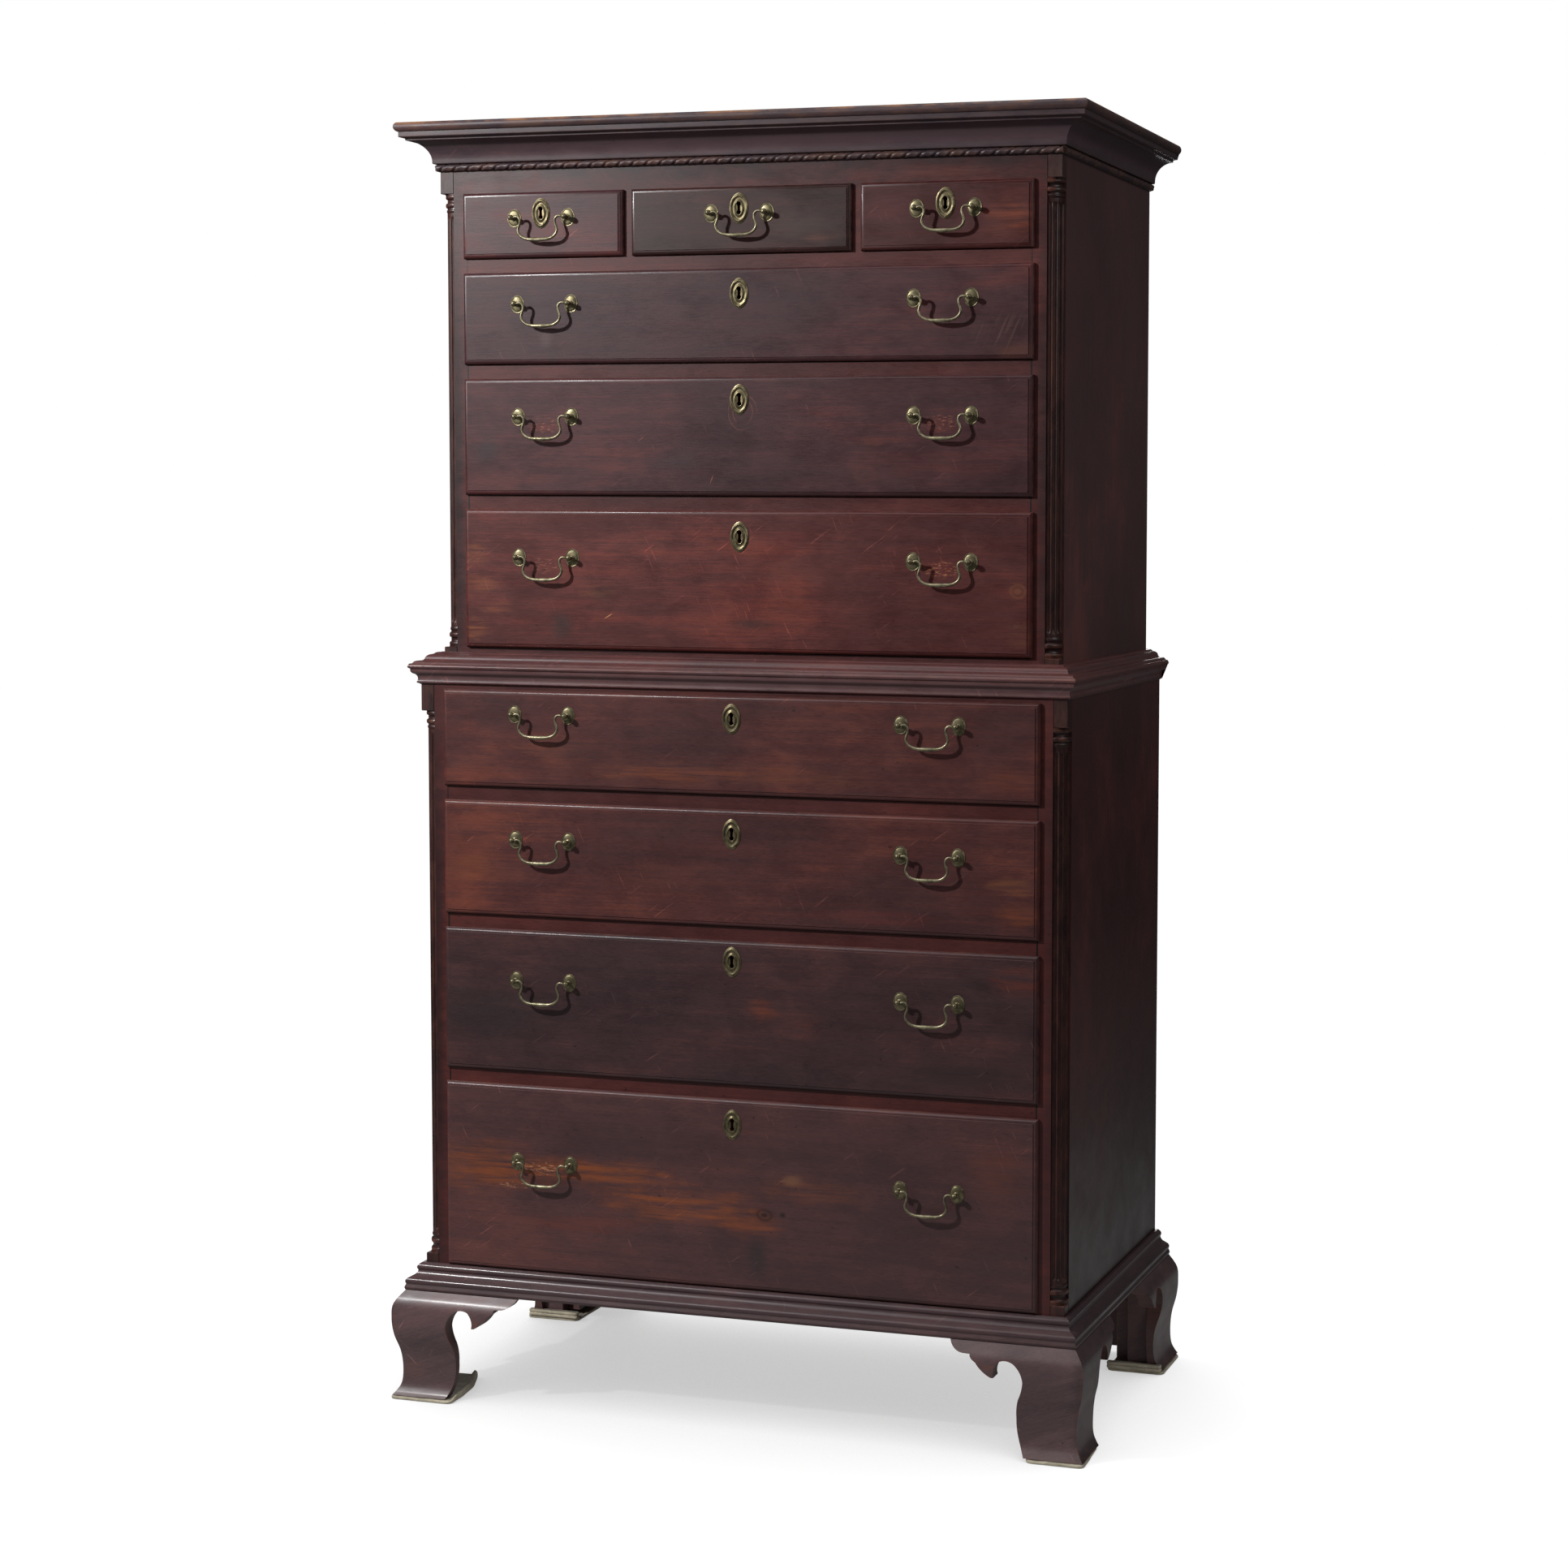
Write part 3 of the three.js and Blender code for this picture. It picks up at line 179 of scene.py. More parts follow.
def marks_of_use(tree, taken):
    """Pale scratches, dark dents, and the varnish rubbed off where the edge mask is high."""
    place = moved(tree, taken, (1.3, 2.9, 4.1))
    fine = clouds(tree, leaned(tree, place, 0.62), (19.0, 9.0, 330.0), 1.5, 0.4, 0.3)
    finer = clouds(tree, leaned(tree, place, -1.15), (23.0, 9.0, 380.0), 1.5, 0.4, 0.3)
    fine, finer = spread(tree, fine, 0.715, 0.76), spread(tree, finer, 0.72, 0.765)
    where = spread(tree, clouds(tree, place, (6.0, 6.0, 8.0), 3.0), 0.45, 0.6)
    scratched = times(tree, reckon(tree, "MAXIMUM", fine, finer), where)
    scratched = times(tree, scratched, taken["Scratch"], clamp=True)
    pale = turned(tree, "ADD", tinted(tree, taken["Color"], (1.9, 1.7, 1.6)), (0.035, 0.016, 0.012))
    marked = blended(tree, scratched, taken["Color"], pale)
    dented = spread(tree, clouds(tree, place, (85.0, 85.0, 130.0), 2.0, 0.5), 0.27, 0.22)
    marked = blended(tree, times(tree, dented, 0.7), marked, tinted(tree, marked, (0.3, 0.3, 0.3)))
    ragged = spread(tree, clouds(tree, place, (26.0, 70.0, 70.0), 5.0, 0.65), 0.42, 0.62)
    rubbed = times(tree, taken["Edge"], ragged, clamp=True)
    bared = reckon(tree, "MAXIMUM", rubbed, times(tree, scratched, 0.6))
    return {"Color": blended(tree, rubbed, marked, taken["Bare"]), "Rubbed": bared}


long_use = shader_group(
    "long_use",
    {"Place": "Vector", "Color": "Color", "Edge": "Float", "Bare": "Color",
     "Scratch": "Float", "Seed": "Float"},
    {"Color": "Color", "Rubbed": "Float"}, marks_of_use,
)


def soft_oval(tree, taken):
    """A soft-edged oval in the XZ plane, turned by an angle, for a knot, stain or worn patch."""
    away = leaned(tree, turned(tree, "SUBTRACT", taken["Place"], taken["Centre"]), taken["Turn"])
    away = turned(tree, "DIVIDE", away, taken["Reach"])
    broken = reckon(tree, "SUBTRACT", clouds(tree, taken["Place"], (26.0, 26.0, 60.0), 4.0, 0.6), 0.5)
    far = reckon(tree, "ADD", turned(tree, "LENGTH", away), times(tree, broken, taken["Ragged"]))
    fade = {0: far, 1: reckon(tree, "SUBTRACT", 1.0, taken["Soft"]), 2: 1.0, 3: 1.0, 4: 0.0}
    mask = node(tree, "ShaderNodeMapRange", fade, interpolation_type="SMOOTHSTEP").outputs[0]
    return {"Mask": mask, "Far": far}


oval = shader_group(
    "oval",
    {"Place": "Vector", "Centre": "Vector", "Reach": "Vector",
     "Turn": "Float", "Soft": "Float", "Ragged": "Float"},
    {"Mask": "Float", "Far": "Float"}, soft_oval,
)

# How each kind of mark lies in its oval: (softness of the edge, raggedness)
mark_edges = {
    "worn": (0.85, 1.1), "cloud": (0.95, 0.9), "flecks": (0.5, 0.5), "knot": (0.6, 0.35),
    "ghost": (0.1, 0.12), "plug": (0.12, 0.03), "strokes": (0.6, 0.5), "line": (0.5, 0.3),
}


def ringed(tree, far, pitch, low, high, start=0.0, end=1.0):
    return spread(tree, reckon(tree, "SINE", times(tree, far, pitch)), low, high, start, end)


def mark_mask(tree, kind, seen, place):
    """What of the oval shows: worn grain, flecks, rings, brush strokes or all of it."""
    mask, far = seen["Mask"], seen["Far"]
    if kind == "worn":
        grain = clouds(tree, place, (8.0, 70.0, 125.0), 5.0, 0.68, 0.5)
        return times(tree, mask, spread(tree, grain, 0.36, 0.62))
    if kind == "flecks":
        specks = clouds(tree, place, (110.0, 200.0, 520.0), 3.0, 0.6)
        return times(tree, mask, spread(tree, specks, 0.54, 0.62))
    if kind == "knot":
        heart = spread(tree, far, 0.3, 0.15)
        rings = ringed(tree, far, 15.0, -1.0, 1.0, 0.25, 0.8)
        return times(tree, mask, reckon(tree, "MAXIMUM", rings, heart))
    if kind == "ghost":
        outer = times(tree, ringed(tree, far, 24.0, 0.75, 0.98), spread(tree, far, 0.4, 0.5))
        broken = spread(tree, clouds(tree, place, (35.0, 35.0, 35.0), 3.0, 0.6), 0.42, 0.6)
        return times(tree, times(tree, mask, outer), broken)
    if kind == "plug":
        return times(tree, mask, spread(tree, far, 0.55, 0.8, 0.25, 1.0))
    if kind == "strokes":
        brushed = clouds(tree, leaned(tree, place, -0.42), (230.0, 30.0, 11.0), 3.0, 0.5, 0.4)
        return times(tree, mask, spread(tree, brushed, 0.52, 0.66))
    return mask


ALONG_Z = (0.0, math.pi / 2, 0.0)
ALONG_Y = (0.0, 0.0, math.pi / 2)


def grained(tree, place, shades, seed, figure):
    """Wood in three shades from dark to light."""
    look = dict(zip(("Dark", "Middle", "Light"), shades), Place=place, Seed=seed, Figure=figure)
    return use(tree, old_wood, look)


def blank(name):
    material = bpy.data.materials.new(name)
    material.use_nodes = True
    return material, material.node_tree, material.node_tree.nodes["Principled BSDF"]


def varnished(
    name, shades, seed, turn=(0, 0, 0), figure=0.25, scratch=0.5, bare=(0.13, 0.042, 0.024),
    marks=(), coat=0.12,
):
    """Old dark varnish over cherry, in three shades from dark to light. A mark is (kind, x, z, half
    width, half height, colour, strength) and may end with the angle that it is turned by."""
    material, tree, shader = blank(name)
    place, flat = placed(tree, turn), placed(tree)
    wood = grained(tree, place, shades, seed, figure)
    color = wood["Color"]
    for kind, x, z, wide, high, tint, strength, *lean in marks:
        soft, ragged = mark_edges[kind]
        seen = use(tree, oval, {
            "Place": flat, "Centre": (x, 0.0, z), "Reach": (wide, 9.0, high),
            "Turn": lean[0] if lean else 0.0, "Soft": soft, "Ragged": ragged,
        })
        color = blended(tree, times(tree, mark_mask(tree, kind, seen, flat), strength), color, tint)
    edge = node(tree, "ShaderNodeAttribute", attribute_name="edge").outputs["Fac"]
    used = use(tree, long_use, {
        "Place": place, "Color": color, "Edge": edge, "Bare": bare, "Scratch": scratch, "Seed": seed,
    })
    fed(tree, shader, {
        "Base Color": used["Color"],
        "Roughness": reckon(tree, "ADD", wood["Rough"], times(tree, used["Rubbed"], 0.1)),
        "Normal": raised(tree, wood["Height"], 0.0004, 0.3),
        "Specular IOR Level": 0.4, "Coat Weight": coat, "Coat Roughness": 0.16,
    })
    return material


def unfinished(name, shades, seed, turn=(0, 0, 0), seams=None):
    """Bare secondary wood, dry and dull. Seams are (axis, pitch) of the joints between boards."""
    material, tree, shader = blank(name)
    place = placed(tree, turn)
    wood = grained(tree, place, shades, seed, 0.7)
    grime = spread(tree, clouds(tree, place, (1.5, 3.0, 3.0), 5.0, 0.65), 0.4, 0.68, 0.0, 0.7)
    color = blended(tree, grime, wood["Color"], tinted(tree, wood["Color"], (0.42, 0.38, 0.36)))
    saw_lines = {"Vector": place, "Scale": 60.0, "Distortion": 2.0, "Detail": 2.0}
    saw_lines = node(tree, "ShaderNodeTexWave", saw_lines, bands_direction="X").outputs[0]
    height = reckon(tree, "ADD", wood["Height"], times(tree, saw_lines, 0.35))
    if seams:
        axis, pitch = seams
        along = node(tree, "ShaderNodeSeparateXYZ", {0: placed(tree)}).outputs[axis]
        joint = spread(tree, reckon(tree, "PINGPONG", along, pitch / 2), 0.0006, 0.0018)
        color = blended(tree, joint, (0.02, 0.013, 0.01), color)
        height = reckon(tree, "ADD", height, times(tree, joint, 4.0))
    fed(tree, shader, {
        "Base Color": color, "Roughness": spread(tree, grime, 0.0, 0.7, 0.72, 0.86),
        "Normal": raised(tree, height, 0.0005, 0.6), "Specular IOR Level": 0.3,
    })
    return material


def dress(name, material):
    made = frame["nodes"][name]
    made.data.materials.clear()
    made.data.materials.append(material)


case_side = varnished(
    "case_side", ((0.052, 0.0165, 0.018), (0.074, 0.0218, 0.0224), (0.122, 0.0338, 0.0305)), 1.0, ALONG_Z,
    figure=0.3, scratch=0.3, marks=[
        # Darker towards the bottom of the right side: painted shade.
        ("cloud", 0.52, 0.2, 0.3, 0.42, (0.014, 0.0045, 0.005), 0.85),
    ],
)
# The upper case's sides are lighter than the lower case's: painted light, for the stronger light on the
# upper part of the chest.
upper_side = varnished(
    "upper_side", ((0.0742, 0.0294, 0.0307), (0.104, 0.0384, 0.0382), (0.173, 0.0591, 0.051)), 2.0, ALONG_Z,
    figure=0.3, scratch=0.3,
)
lower_rails = varnished(
    "lower_rails", ((0.063, 0.0144, 0.0137), (0.0861, 0.0183, 0.0164), (0.126, 0.0265, 0.0195)), 3.0,
    figure=0.15, marks=[
        ("cloud", -0.499, 0.65, 0.024, 0.7, (0.019, 0.006, 0.007), 0.9),
        ("cloud", 0.499, 0.65, 0.021, 0.6, (0.028, 0.0095, 0.0105), 0.65),
        ("line", -0.4755, 0.66, 0.0018, 0.5, (0.008, 0.004, 0.004), 1.0),
        ("line", 0.4755, 0.66, 0.0018, 0.5, (0.008, 0.004, 0.004), 1.0),
    ],
)
upper_rails = varnished(
    "upper_rails", ((0.0605, 0.0133, 0.0129), (0.0836, 0.0171, 0.0156), (0.1232, 0.0243, 0.019)), 3.5,
    figure=0.15, marks=[
        # The frieze under the cornice is darkened: painted shadow of the cornice.
        ("cloud", 0.0, 1.94, 2.0, 0.105, (0.013, 0.004, 0.006), 1.0),
        ("cloud", -0.476, 1.5, 0.026, 0.7, (0.013, 0.0035, 0.005), 0.9),
        # The right stile is darkened: partly its own darker tone, partly painted shade for the shadows that
        # the drawers' lips cast on it.
        ("cloud", 0.476, 1.5, 0.024, 0.6, (0.022, 0.0075, 0.0085), 0.8),
        ("line", -0.4525, 1.52, 0.0018, 0.4, (0.008, 0.004, 0.004), 1.0),
        ("line", 0.4525, 1.52, 0.0018, 0.4, (0.008, 0.004, 0.004), 1.0),
        ("worn", 0.3, 1.884, 0.16, 0.012, (0.13, 0.032, 0.024), 0.7),
    ],
)
BACK_BOARD = 0.196
back_boards = unfinished(
    "back_boards", ((0.13, 0.085, 0.05), (0.22, 0.145, 0.085), (0.3, 0.2, 0.12)), 4.0,
    seams=(2, BACK_BOARD),
)
for case, finish, rails in (("lower", case_side, lower_rails), ("upper", upper_side, upper_rails)):
    for board in ("left_side", "right_side"):
        dress(f"{case}_{board}", finish)
    dress(f"{case}_drawer_frame", rails)
    dress(f"{case}_back", back_boards)


# Fluted quarter columns, let into the front corners of both cases. Each has a square block at its
# head, a turned capital, a shaft with four flutes, a turned base and a square plinth.
def shown(name, data):
    made = bpy.data.objects.new(name, data)
    bpy.context.scene.collection.objects.link(made)
    return made


def closed_mesh(name, points, faces, edge=None):
    mesh = bpy.data.meshes.new(name)
    mesh.from_pydata([tuple(point) for point in points], [], faces)
    if edge is not None:
        mesh.attributes.new("edge", "FLOAT", "POINT").data.foreach_set("value", edge)
    editable = bmesh.new()
    editable.from_mesh(mesh)
    bmesh.ops.recalc_face_normals(editable, faces=editable.faces)
    editable.to_mesh(mesh)
    editable.free()
    return mesh


def piece(name, shape, material, body, stands_for=(), smooth=32.0, slot=None):
    """Makes a piece from a shape, which is (points, faces, wear of each point). Felt and brass pass a slot,
    which only drops their wear."""
    points, faces, edge = shape
    mesh = closed_mesh(name, points, faces, None if slot else edge)
    mesh.shade_smooth()
    mesh.set_sharp_from_angle(angle=math.radians(smooth))
    mesh.materials.append(material)
    made = shown(name, mesh)
    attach(made, body)
    if stands_for:
        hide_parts(*stands_for)
    return made


def shells(*parts):
    """Joins shapes into one."""
    points, faces, edge = [], [], []
    for own_points, own_faces, own_edge in parts:
        first = len(points)
        points += own_points
        faces += [[first + corner for corner in face] for face in own_faces]
        edge += own_edge
    return points, faces, edge


def skin(loops, worn=None, around=None, ends="flat"):
    """A shape through loops of one count. worn gives the wear of each loop, or around that of each
    place on a loop. The ends are closed flat, left open or joined to each other."""
    count = len(loops[0])
    faces = []
    for ring in range(len(loops) if ends == "joined" else len(loops) - 1):
        this, after = ring * count, (ring + 1) % len(loops) * count
        for step in range(count):
            further = (step + 1) % count
            faces.append([this + step, this + further, after + further, after + step])
    if ends == "flat":
        last = (len(loops) - 1) * count
        faces += [list(range(count)), list(range(last, last + count))]
    by_loop = worn or [1.0 if around else 0.0] * len(loops)
    edge = [share * place for share in by_loop for place in around or [1.0] * count]
    return [point for loop in loops for point in loop], faces, edge


def block(low, high, ease=0.0008):
    """A squared block with softly broken corners."""
    (x0, y0, z0), (x1, y1, z1) = low, high
    loops = []
    for z, inset in ((z0, ease), (z0 + ease, 0.0), (z1 - ease, 0.0), (z1, ease)):
        a, b, c, d = x0 + inset, x1 - inset, y0 + inset, y1 - inset
        loops.append([
            (a + ease, c, z), (b - ease, c, z), (b, c + ease, z), (b, d - ease, z),
            (b - ease, d, z), (a + ease, d, z), (a, d - ease, z), (a, c + ease, z),
        ])
    return skin(loops, (0.8, 0.3, 0.3, 0.8))


COLUMN_RADIUS = 0.022
SHAFT_RADIUS = 0.0195
FLUTES = 4
FLUTE_DEPTH = 0.0021
FLUTE_HALF = 0.34
FLUTE_MARGIN = 0.12
TURNED_BASE = 0.033
CAPITAL = 0.030
QUARTER_STEPS = 40
# Rings from the square block inwards: (height share, radius share)
turned_rings = [
    (0.0, 1.0), (0.05, 1.0), (0.06, 0.97), (0.1, 0.99), (0.155, 1.0), (0.2, 0.985), (0.235, 0.95),
    (0.25, 0.87), (0.3, 0.835), (0.36, 0.825), (0.42, 0.85), (0.45, 0.9), (0.46, 0.955), (0.5, 0.985),
    (0.56, 1.0), (0.62, 0.99), (0.665, 0.955), (0.69, 0.9), (0.71, 0.865), (0.76, 0.875), (0.79, 0.915),
    (0.83, 0.93), (0.88, 0.925), (0.92, 0.9), (0.94, 0.885), (1.0, 0.885),
]
# Where the flutes run out at each end of the shaft: (height, depth share)
flute_ends = [(-0.001, 0.0), (0.004, 0.0), (0.0055, 0.55), (0.008, 0.9), (0.012, 1.0)]


def quarter(corner, side, z, radii):
    loop = [(corner[0], corner[1], z)]
    for step, radius in enumerate(radii):
        angle = step / (len(radii) - 1) * math.pi / 2
        loop.append((corner[0] + side * radius * math.sin(angle), corner[1] - radius * math.cos(angle), z))
    return loop


def fluted(depth):
    radii = []
    for step in range(QUARTER_STEPS + 1):
        far = step / QUARTER_STEPS * (FLUTES + 2 * FLUTE_MARGIN) - FLUTE_MARGIN
        hollow = math.sqrt(max(0.0, 1.0 - ((far % 1.0 - 0.5) / FLUTE_HALF) ** 2))
        radii.append(SHAFT_RADIUS - (depth * hollow if 0 <= far <= FLUTES else 0.0))
    return radii


column_wood = varnished(
    "column_wood", ((0.0252, 0.0091, 0.0091), (0.036, 0.0121, 0.0113), (0.0528, 0.016, 0.0135)), 5.0,
    ALONG_Z, figure=0.1, scratch=0.4,
)
for case, plinth_top, block_foot in (("lower", 0.225, 1.076), ("upper", 1.1738, 1.8698)):
    for hand, side in (("left", -1), ("right", 1)):
        node_name = f"{case}_{hand}_quarter_column"
        low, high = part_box(node_name)
        corner = (low.x if side > 0 else high.x, high.y)
        parts = [
            block((low.x, low.y, low.z), (high.x, high.y, plinth_top)),
            block((low.x, low.y, block_foot), (high.x, high.y, high.z)),
        ]
        for start, height in ((plinth_top, TURNED_BASE), (block_foot, -CAPITAL)):
            loops = [
                quarter(corner, side, start + up * height, [out * COLUMN_RADIUS] * (QUARTER_STEPS + 1))
                for up, out in turned_rings
            ]
            parts.append(skin(loops, [0.9 if out > 0.97 else 0.1 for _, out in turned_rings]))
        foot, top = plinth_top + TURNED_BASE, block_foot - CAPITAL
        heights = [(foot + up, share) for up, share in flute_ends]
        heights += [(foot + top - z, share) for z, share in reversed(heights)]
        shaft = [quarter(corner, side, z, fluted(FLUTE_DEPTH * share)) for z, share in heights]
        parts.append(skin(shaft, [0.35] * len(shaft)))
        piece(f"{case}_{hand}_fluted_column", shells(*parts), column_wood, f"{case}_chest", [node_name])


# Base moulding of the lower case, worked in one length for each side and mitred at the corners:
# a fascia, a heavy torus, an ogee and a bead. It is nailed on below the case.
def outline(rows, reach, height, steps=8):
    """Points of a moulding's section as (reach, height, worn). A row is (reach share, height share,
    bulge share, worn): the stretch that ends there is an arc whose rise is that share of half its chord."""
    made = []
    for row in rows:
        across, up, bulge, worn = (*row, 0.0, 0.0)[:4]
        end = Vector((across * reach, up * height))
        if bulge and made:
            start = Vector(made[-1][:2])
            chord = end - start
            half = chord.length / 2
            rise = bulge * half
            radius = (half * half + rise * rise) / (2 * rise)
            side = Vector((chord.y, -chord.x)).normalized()
            centre = (start + end) / 2 + side * (rise - radius)
            arm = start - centre
            for step in range(1, steps):
                angle = 4 * math.atan(bulge) * step / steps
                x, z = math.cos(angle), math.sin(angle)
                turn = Vector((arm.x * x - arm.y * z, arm.x * z + arm.y * x))
                made.append(((centre + turn).x, (centre + turn).y, 0.35 if bulge > 0.5 else 0.0))
        made.append((end.x, end.y, worn))
    return made


def round_off(corner, before, after, radius, shares):
    """Points of a small round at a corner between its neighbours."""
    here = Vector(corner[:2])
    back, ahead = ((Vector(other[:2]) - here).normalized() * radius for other in (before, after))
    return [here + back * (1 - share) ** 2 + ahead * share ** 2 for share in shares]


def eased(section, radius):
    """Breaks each corner that is marked worn with a small round."""
    made = []
    shares = (0.0, 0.25, 0.5, 0.75, 1.0)
    for index, corner in enumerate(section):
        worn = corner[2]
        if not worn:
            made.append(corner)
            continue
        points = round_off(corner, section[index - 1], section[(index + 1) % len(section)], radius, shares)
        for point, share in zip(points, shares):
            made.append((point.x, point.y, worn * (1 - abs(share - 0.5) * 1.6)))
    return made


def mitred(side_section, front_section, half_width, face, back, foot, parts=14):
    """A moulding round the left side, the front and the right side."""
    stations = [(-1, step / parts) for step in range(parts + 1)]
    stations += [(0, step / (parts * 2)) for step in range(1, parts * 2)]
    stations += [(1, step / parts) for step in range(parts, -1, -1)]
    loops = []
    for side, share in stations:
        loop = []
        for (x, z, _), (front_x, front_z, _) in zip(side_section, front_section):
            near, reach = face - front_x, half_width + x
            if side:
                loop.append((side * reach, back + (near - back) * share, foot + z))
            else:
                loop.append((-reach + 2 * reach * share, near, foot + front_z))
        loops.append(loop)
    return skin(loops, around=[worn for _, _, worn in side_section])


LOWER_HALF = 0.520
LOWER_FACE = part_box("lower_drawer_frame")[0].y
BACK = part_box("lower_back")[1].y
BASE_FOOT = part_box("base_moulding")[0].z
BASE_REACH = 0.0255
BASE_HEIGHT = 0.0405
base_rows = [
    (0.012, 0.0), (0.945, 0.0, 0.0, 0.5), (1.0, 0.1, 0.0, 0.8), (0.905, 0.237, 0.0, 0.5),
    (0.87, 0.442, 0.4, 0.2), (0.6, 0.533, 0.0, 0.6), (0.363, 0.73, -0.3, 0.1), (0.31, 0.95, 0.5, 0.2),
    (0.2, 1.0), (0.012, 1.0),
]
moulding_wood = varnished(
    "moulding_wood", ((0.0585, 0.0325, 0.0364), (0.0806, 0.0425, 0.0468), (0.1144, 0.0537, 0.0546)), 6.0,
    figure=0.1, scratch=0.6, bare=(0.12, 0.06, 0.048), coat=0.3, marks=[
        # The right side is darkened: painted shade on the side away from the key lamp.
        ("cloud", 0.575, 0.19, 0.05, 0.3, (0.014, 0.012, 0.013), 0.95),
    ],
)
base_section = eased(outline(base_rows, BASE_REACH, BASE_HEIGHT), 0.0009)
base_run = mitred(base_section, base_section, LOWER_HALF, LOWER_FACE, BACK, BASE_FOOT)
piece("base_moulding_run", base_run, moulding_wood, "lower_chest", ["base_moulding"], smooth=28)


# Ogee bracket feet of cherry. A front foot is two swelled brackets that meet in a mitre, sawn to a
# scroll with a hooked spur along the lower edge, with a glue block behind. A rear foot has one
# bracket with a wider leg, a plain board across the back and two blocks in the angle.
FOOT_REACH = 0.040
BRACKET_BACK = 0.016
FOOT_FLOOR, FOOT_TOP = (corner.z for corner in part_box("front_left_foot"))
BRACKET = 0.168
BRACKET_STEPS = 36
REAR_LEG_EXTRA = 0.052
REAR_BOARD = 0.130
REAR_BOARD_THICKNESS = 0.022
REAR_BOARD_LIFT = 0.009
BLOCK_LIFT = 0.006
GLUE_BLOCK = 0.028
GLUED = 0.0005
SAW_SPARE = 0.002
SAW_PAST = 0.01
WEAR_REACH = 0.0022
WEAR_HEIGHT = 0.006
swell_rows = [
    (1.0, 0.0), (0.88, 0.035), (0.75, 0.09), (0.69, 0.17), (0.69, 0.3), (0.76, 0.43), (0.93, 0.58),
    (1.0, 0.73), (0.95, 0.88), (0.6, 1.0),
]
bracket_rows = [
    (0.3, 0.0), (0.383, 0.341, 0.15), (0.357, 0.524, 0.1), (0.311, 0.684, -0.1), (0.393, 0.843, -0.21),
    (0.536, 0.852, -0.27), (0.583, 0.739, -0.21), (0.577, 0.705), (0.601, 0.705), (0.741, 0.83, 0.14),
    (0.762, 0.846), (0.8, 0.901, 0.25), (0.869, 0.904), (1.0, 1.0, 0.26),
]


def smooth_run(knots, count):
    """Evenly parted points of a smooth curve through the knots."""
    made = []
    ends = [knots[0]] + list(knots) + [knots[-1]]
    for step in range(count + 1):
        along = step / count * (len(knots) - 1)
        index = min(int(along), len(knots) - 2)
        t = along - index
        a, b, c, d = (Vector(ends[index + offset]) for offset in range(4))
        bend, twist = 2 * a - 5 * b + 4 * c - d, 3 * b - a - 3 * c + d
        made.append(0.5 * ((2 * b) + (c - a) * t + bend * t * t + twist * t ** 3))
    return made


def sawn(shape, cutter):
    """What is left of a shape, as points and faces."""
    forms = {"body": shape, "blade": cutter}
    body, blade = (shown(name, closed_mesh(name, *form[:2])) for name, form in forms.items())
    saw = body.modifiers.new("saw", "BOOLEAN")
    saw.object, saw.operation, saw.solver = blade, "DIFFERENCE", "EXACT"
    left = body.evaluated_get(bpy.context.evaluated_depsgraph_get()).to_mesh()
    points = [vertex.co.copy() for vertex in left.vertices]
    faces = [list(polygon.vertices) for polygon in left.polygons]
    for used in (body, blade):
        bpy.data.objects.remove(used)
    return points, faces


def prism(section, axis, start, end):
    """A section of (across, up) pairs pushed along X or Y."""
    if axis == "x":
        return skin([[(along, across, z) for across, z in section] for along in (start, end)])
    return skin([[(across, along, z) for across, z in section] for along in (start, end)])


SIDE_BLOCK = 0.019
SIDE_BLOCK_LENGTH = 0.101
CORNER_BLOCK = 0.042
CORNER_BLOCK_START = 0.0185
CORNER_BLOCK_LENGTH = 0.083
foot_height = FOOT_TOP - FOOT_FLOOR
swell = smooth_run(swell_rows, 48)
swell = [(min(point.x, 1.0) * FOOT_REACH, FOOT_FLOOR + point.y * foot_height) for point in swell]
swell += [(BRACKET_BACK, FOOT_TOP), (BRACKET_BACK, FOOT_FLOOR)]
scroll = [(x, z + FOOT_FLOOR) for x, z, _ in outline(bracket_rows, BRACKET, foot_height, 8)]
below = [(scroll[0][0], FOOT_FLOOR - SAW_SPARE), *scroll]
below += [(BRACKET + SAW_SPARE, FOOT_TOP + SAW_SPARE), (BRACKET + SAW_SPARE, FOOT_FLOOR - SAW_SPARE)]


def bracket(place_at, length, from_end, cutter):
    """One swelled bracket, sawn, and how near each of its points is to a worn edge. place_at puts
    a distance along the bracket, a reach and a height in the room."""
    stations = [length * step / BRACKET_STEPS for step in range(BRACKET_STEPS + 1)]
    points, faces = sawn(skin([[place_at(along, x, z) for x, z in swell] for along in stations]), cutter)
    worn = []
    for point in points:
        along, z = from_end(point), point[2]
        to_scroll = min(math.hypot(along - a, z - up) for a, up in scroll)
        low = max(0.0, 1 - (z - FOOT_FLOOR) / WEAR_HEIGHT)
        worn.append(max(math.exp(-to_scroll / WEAR_REACH), 0.8 * low))
    return points, faces, worn


def worn_mitre(part):
    """Adds the wear down the corner where two brackets meet."""
    points, faces, worn = part
    for index, point in enumerate(points):
        off = abs((abs(point[0]) - LOWER_HALF) - (LOWER_FACE - point[1]))
        if abs(point[0]) > LOWER_HALF + BRACKET_BACK + 0.001 and off < 0.002:
            worn[index] = max(worn[index], 0.75)
    return part


def foot_block(side, inner, outer, front, rear, lift=BLOCK_LIFT):
    """A block in the foot's angle, between distances inside and outside the case's side."""
    low, high = sorted((side * (LOWER_HALF - inner), side * (LOWER_HALF + outer)))
    return block((low, front, FOOT_FLOOR + lift), (high, rear, FOOT_TOP))


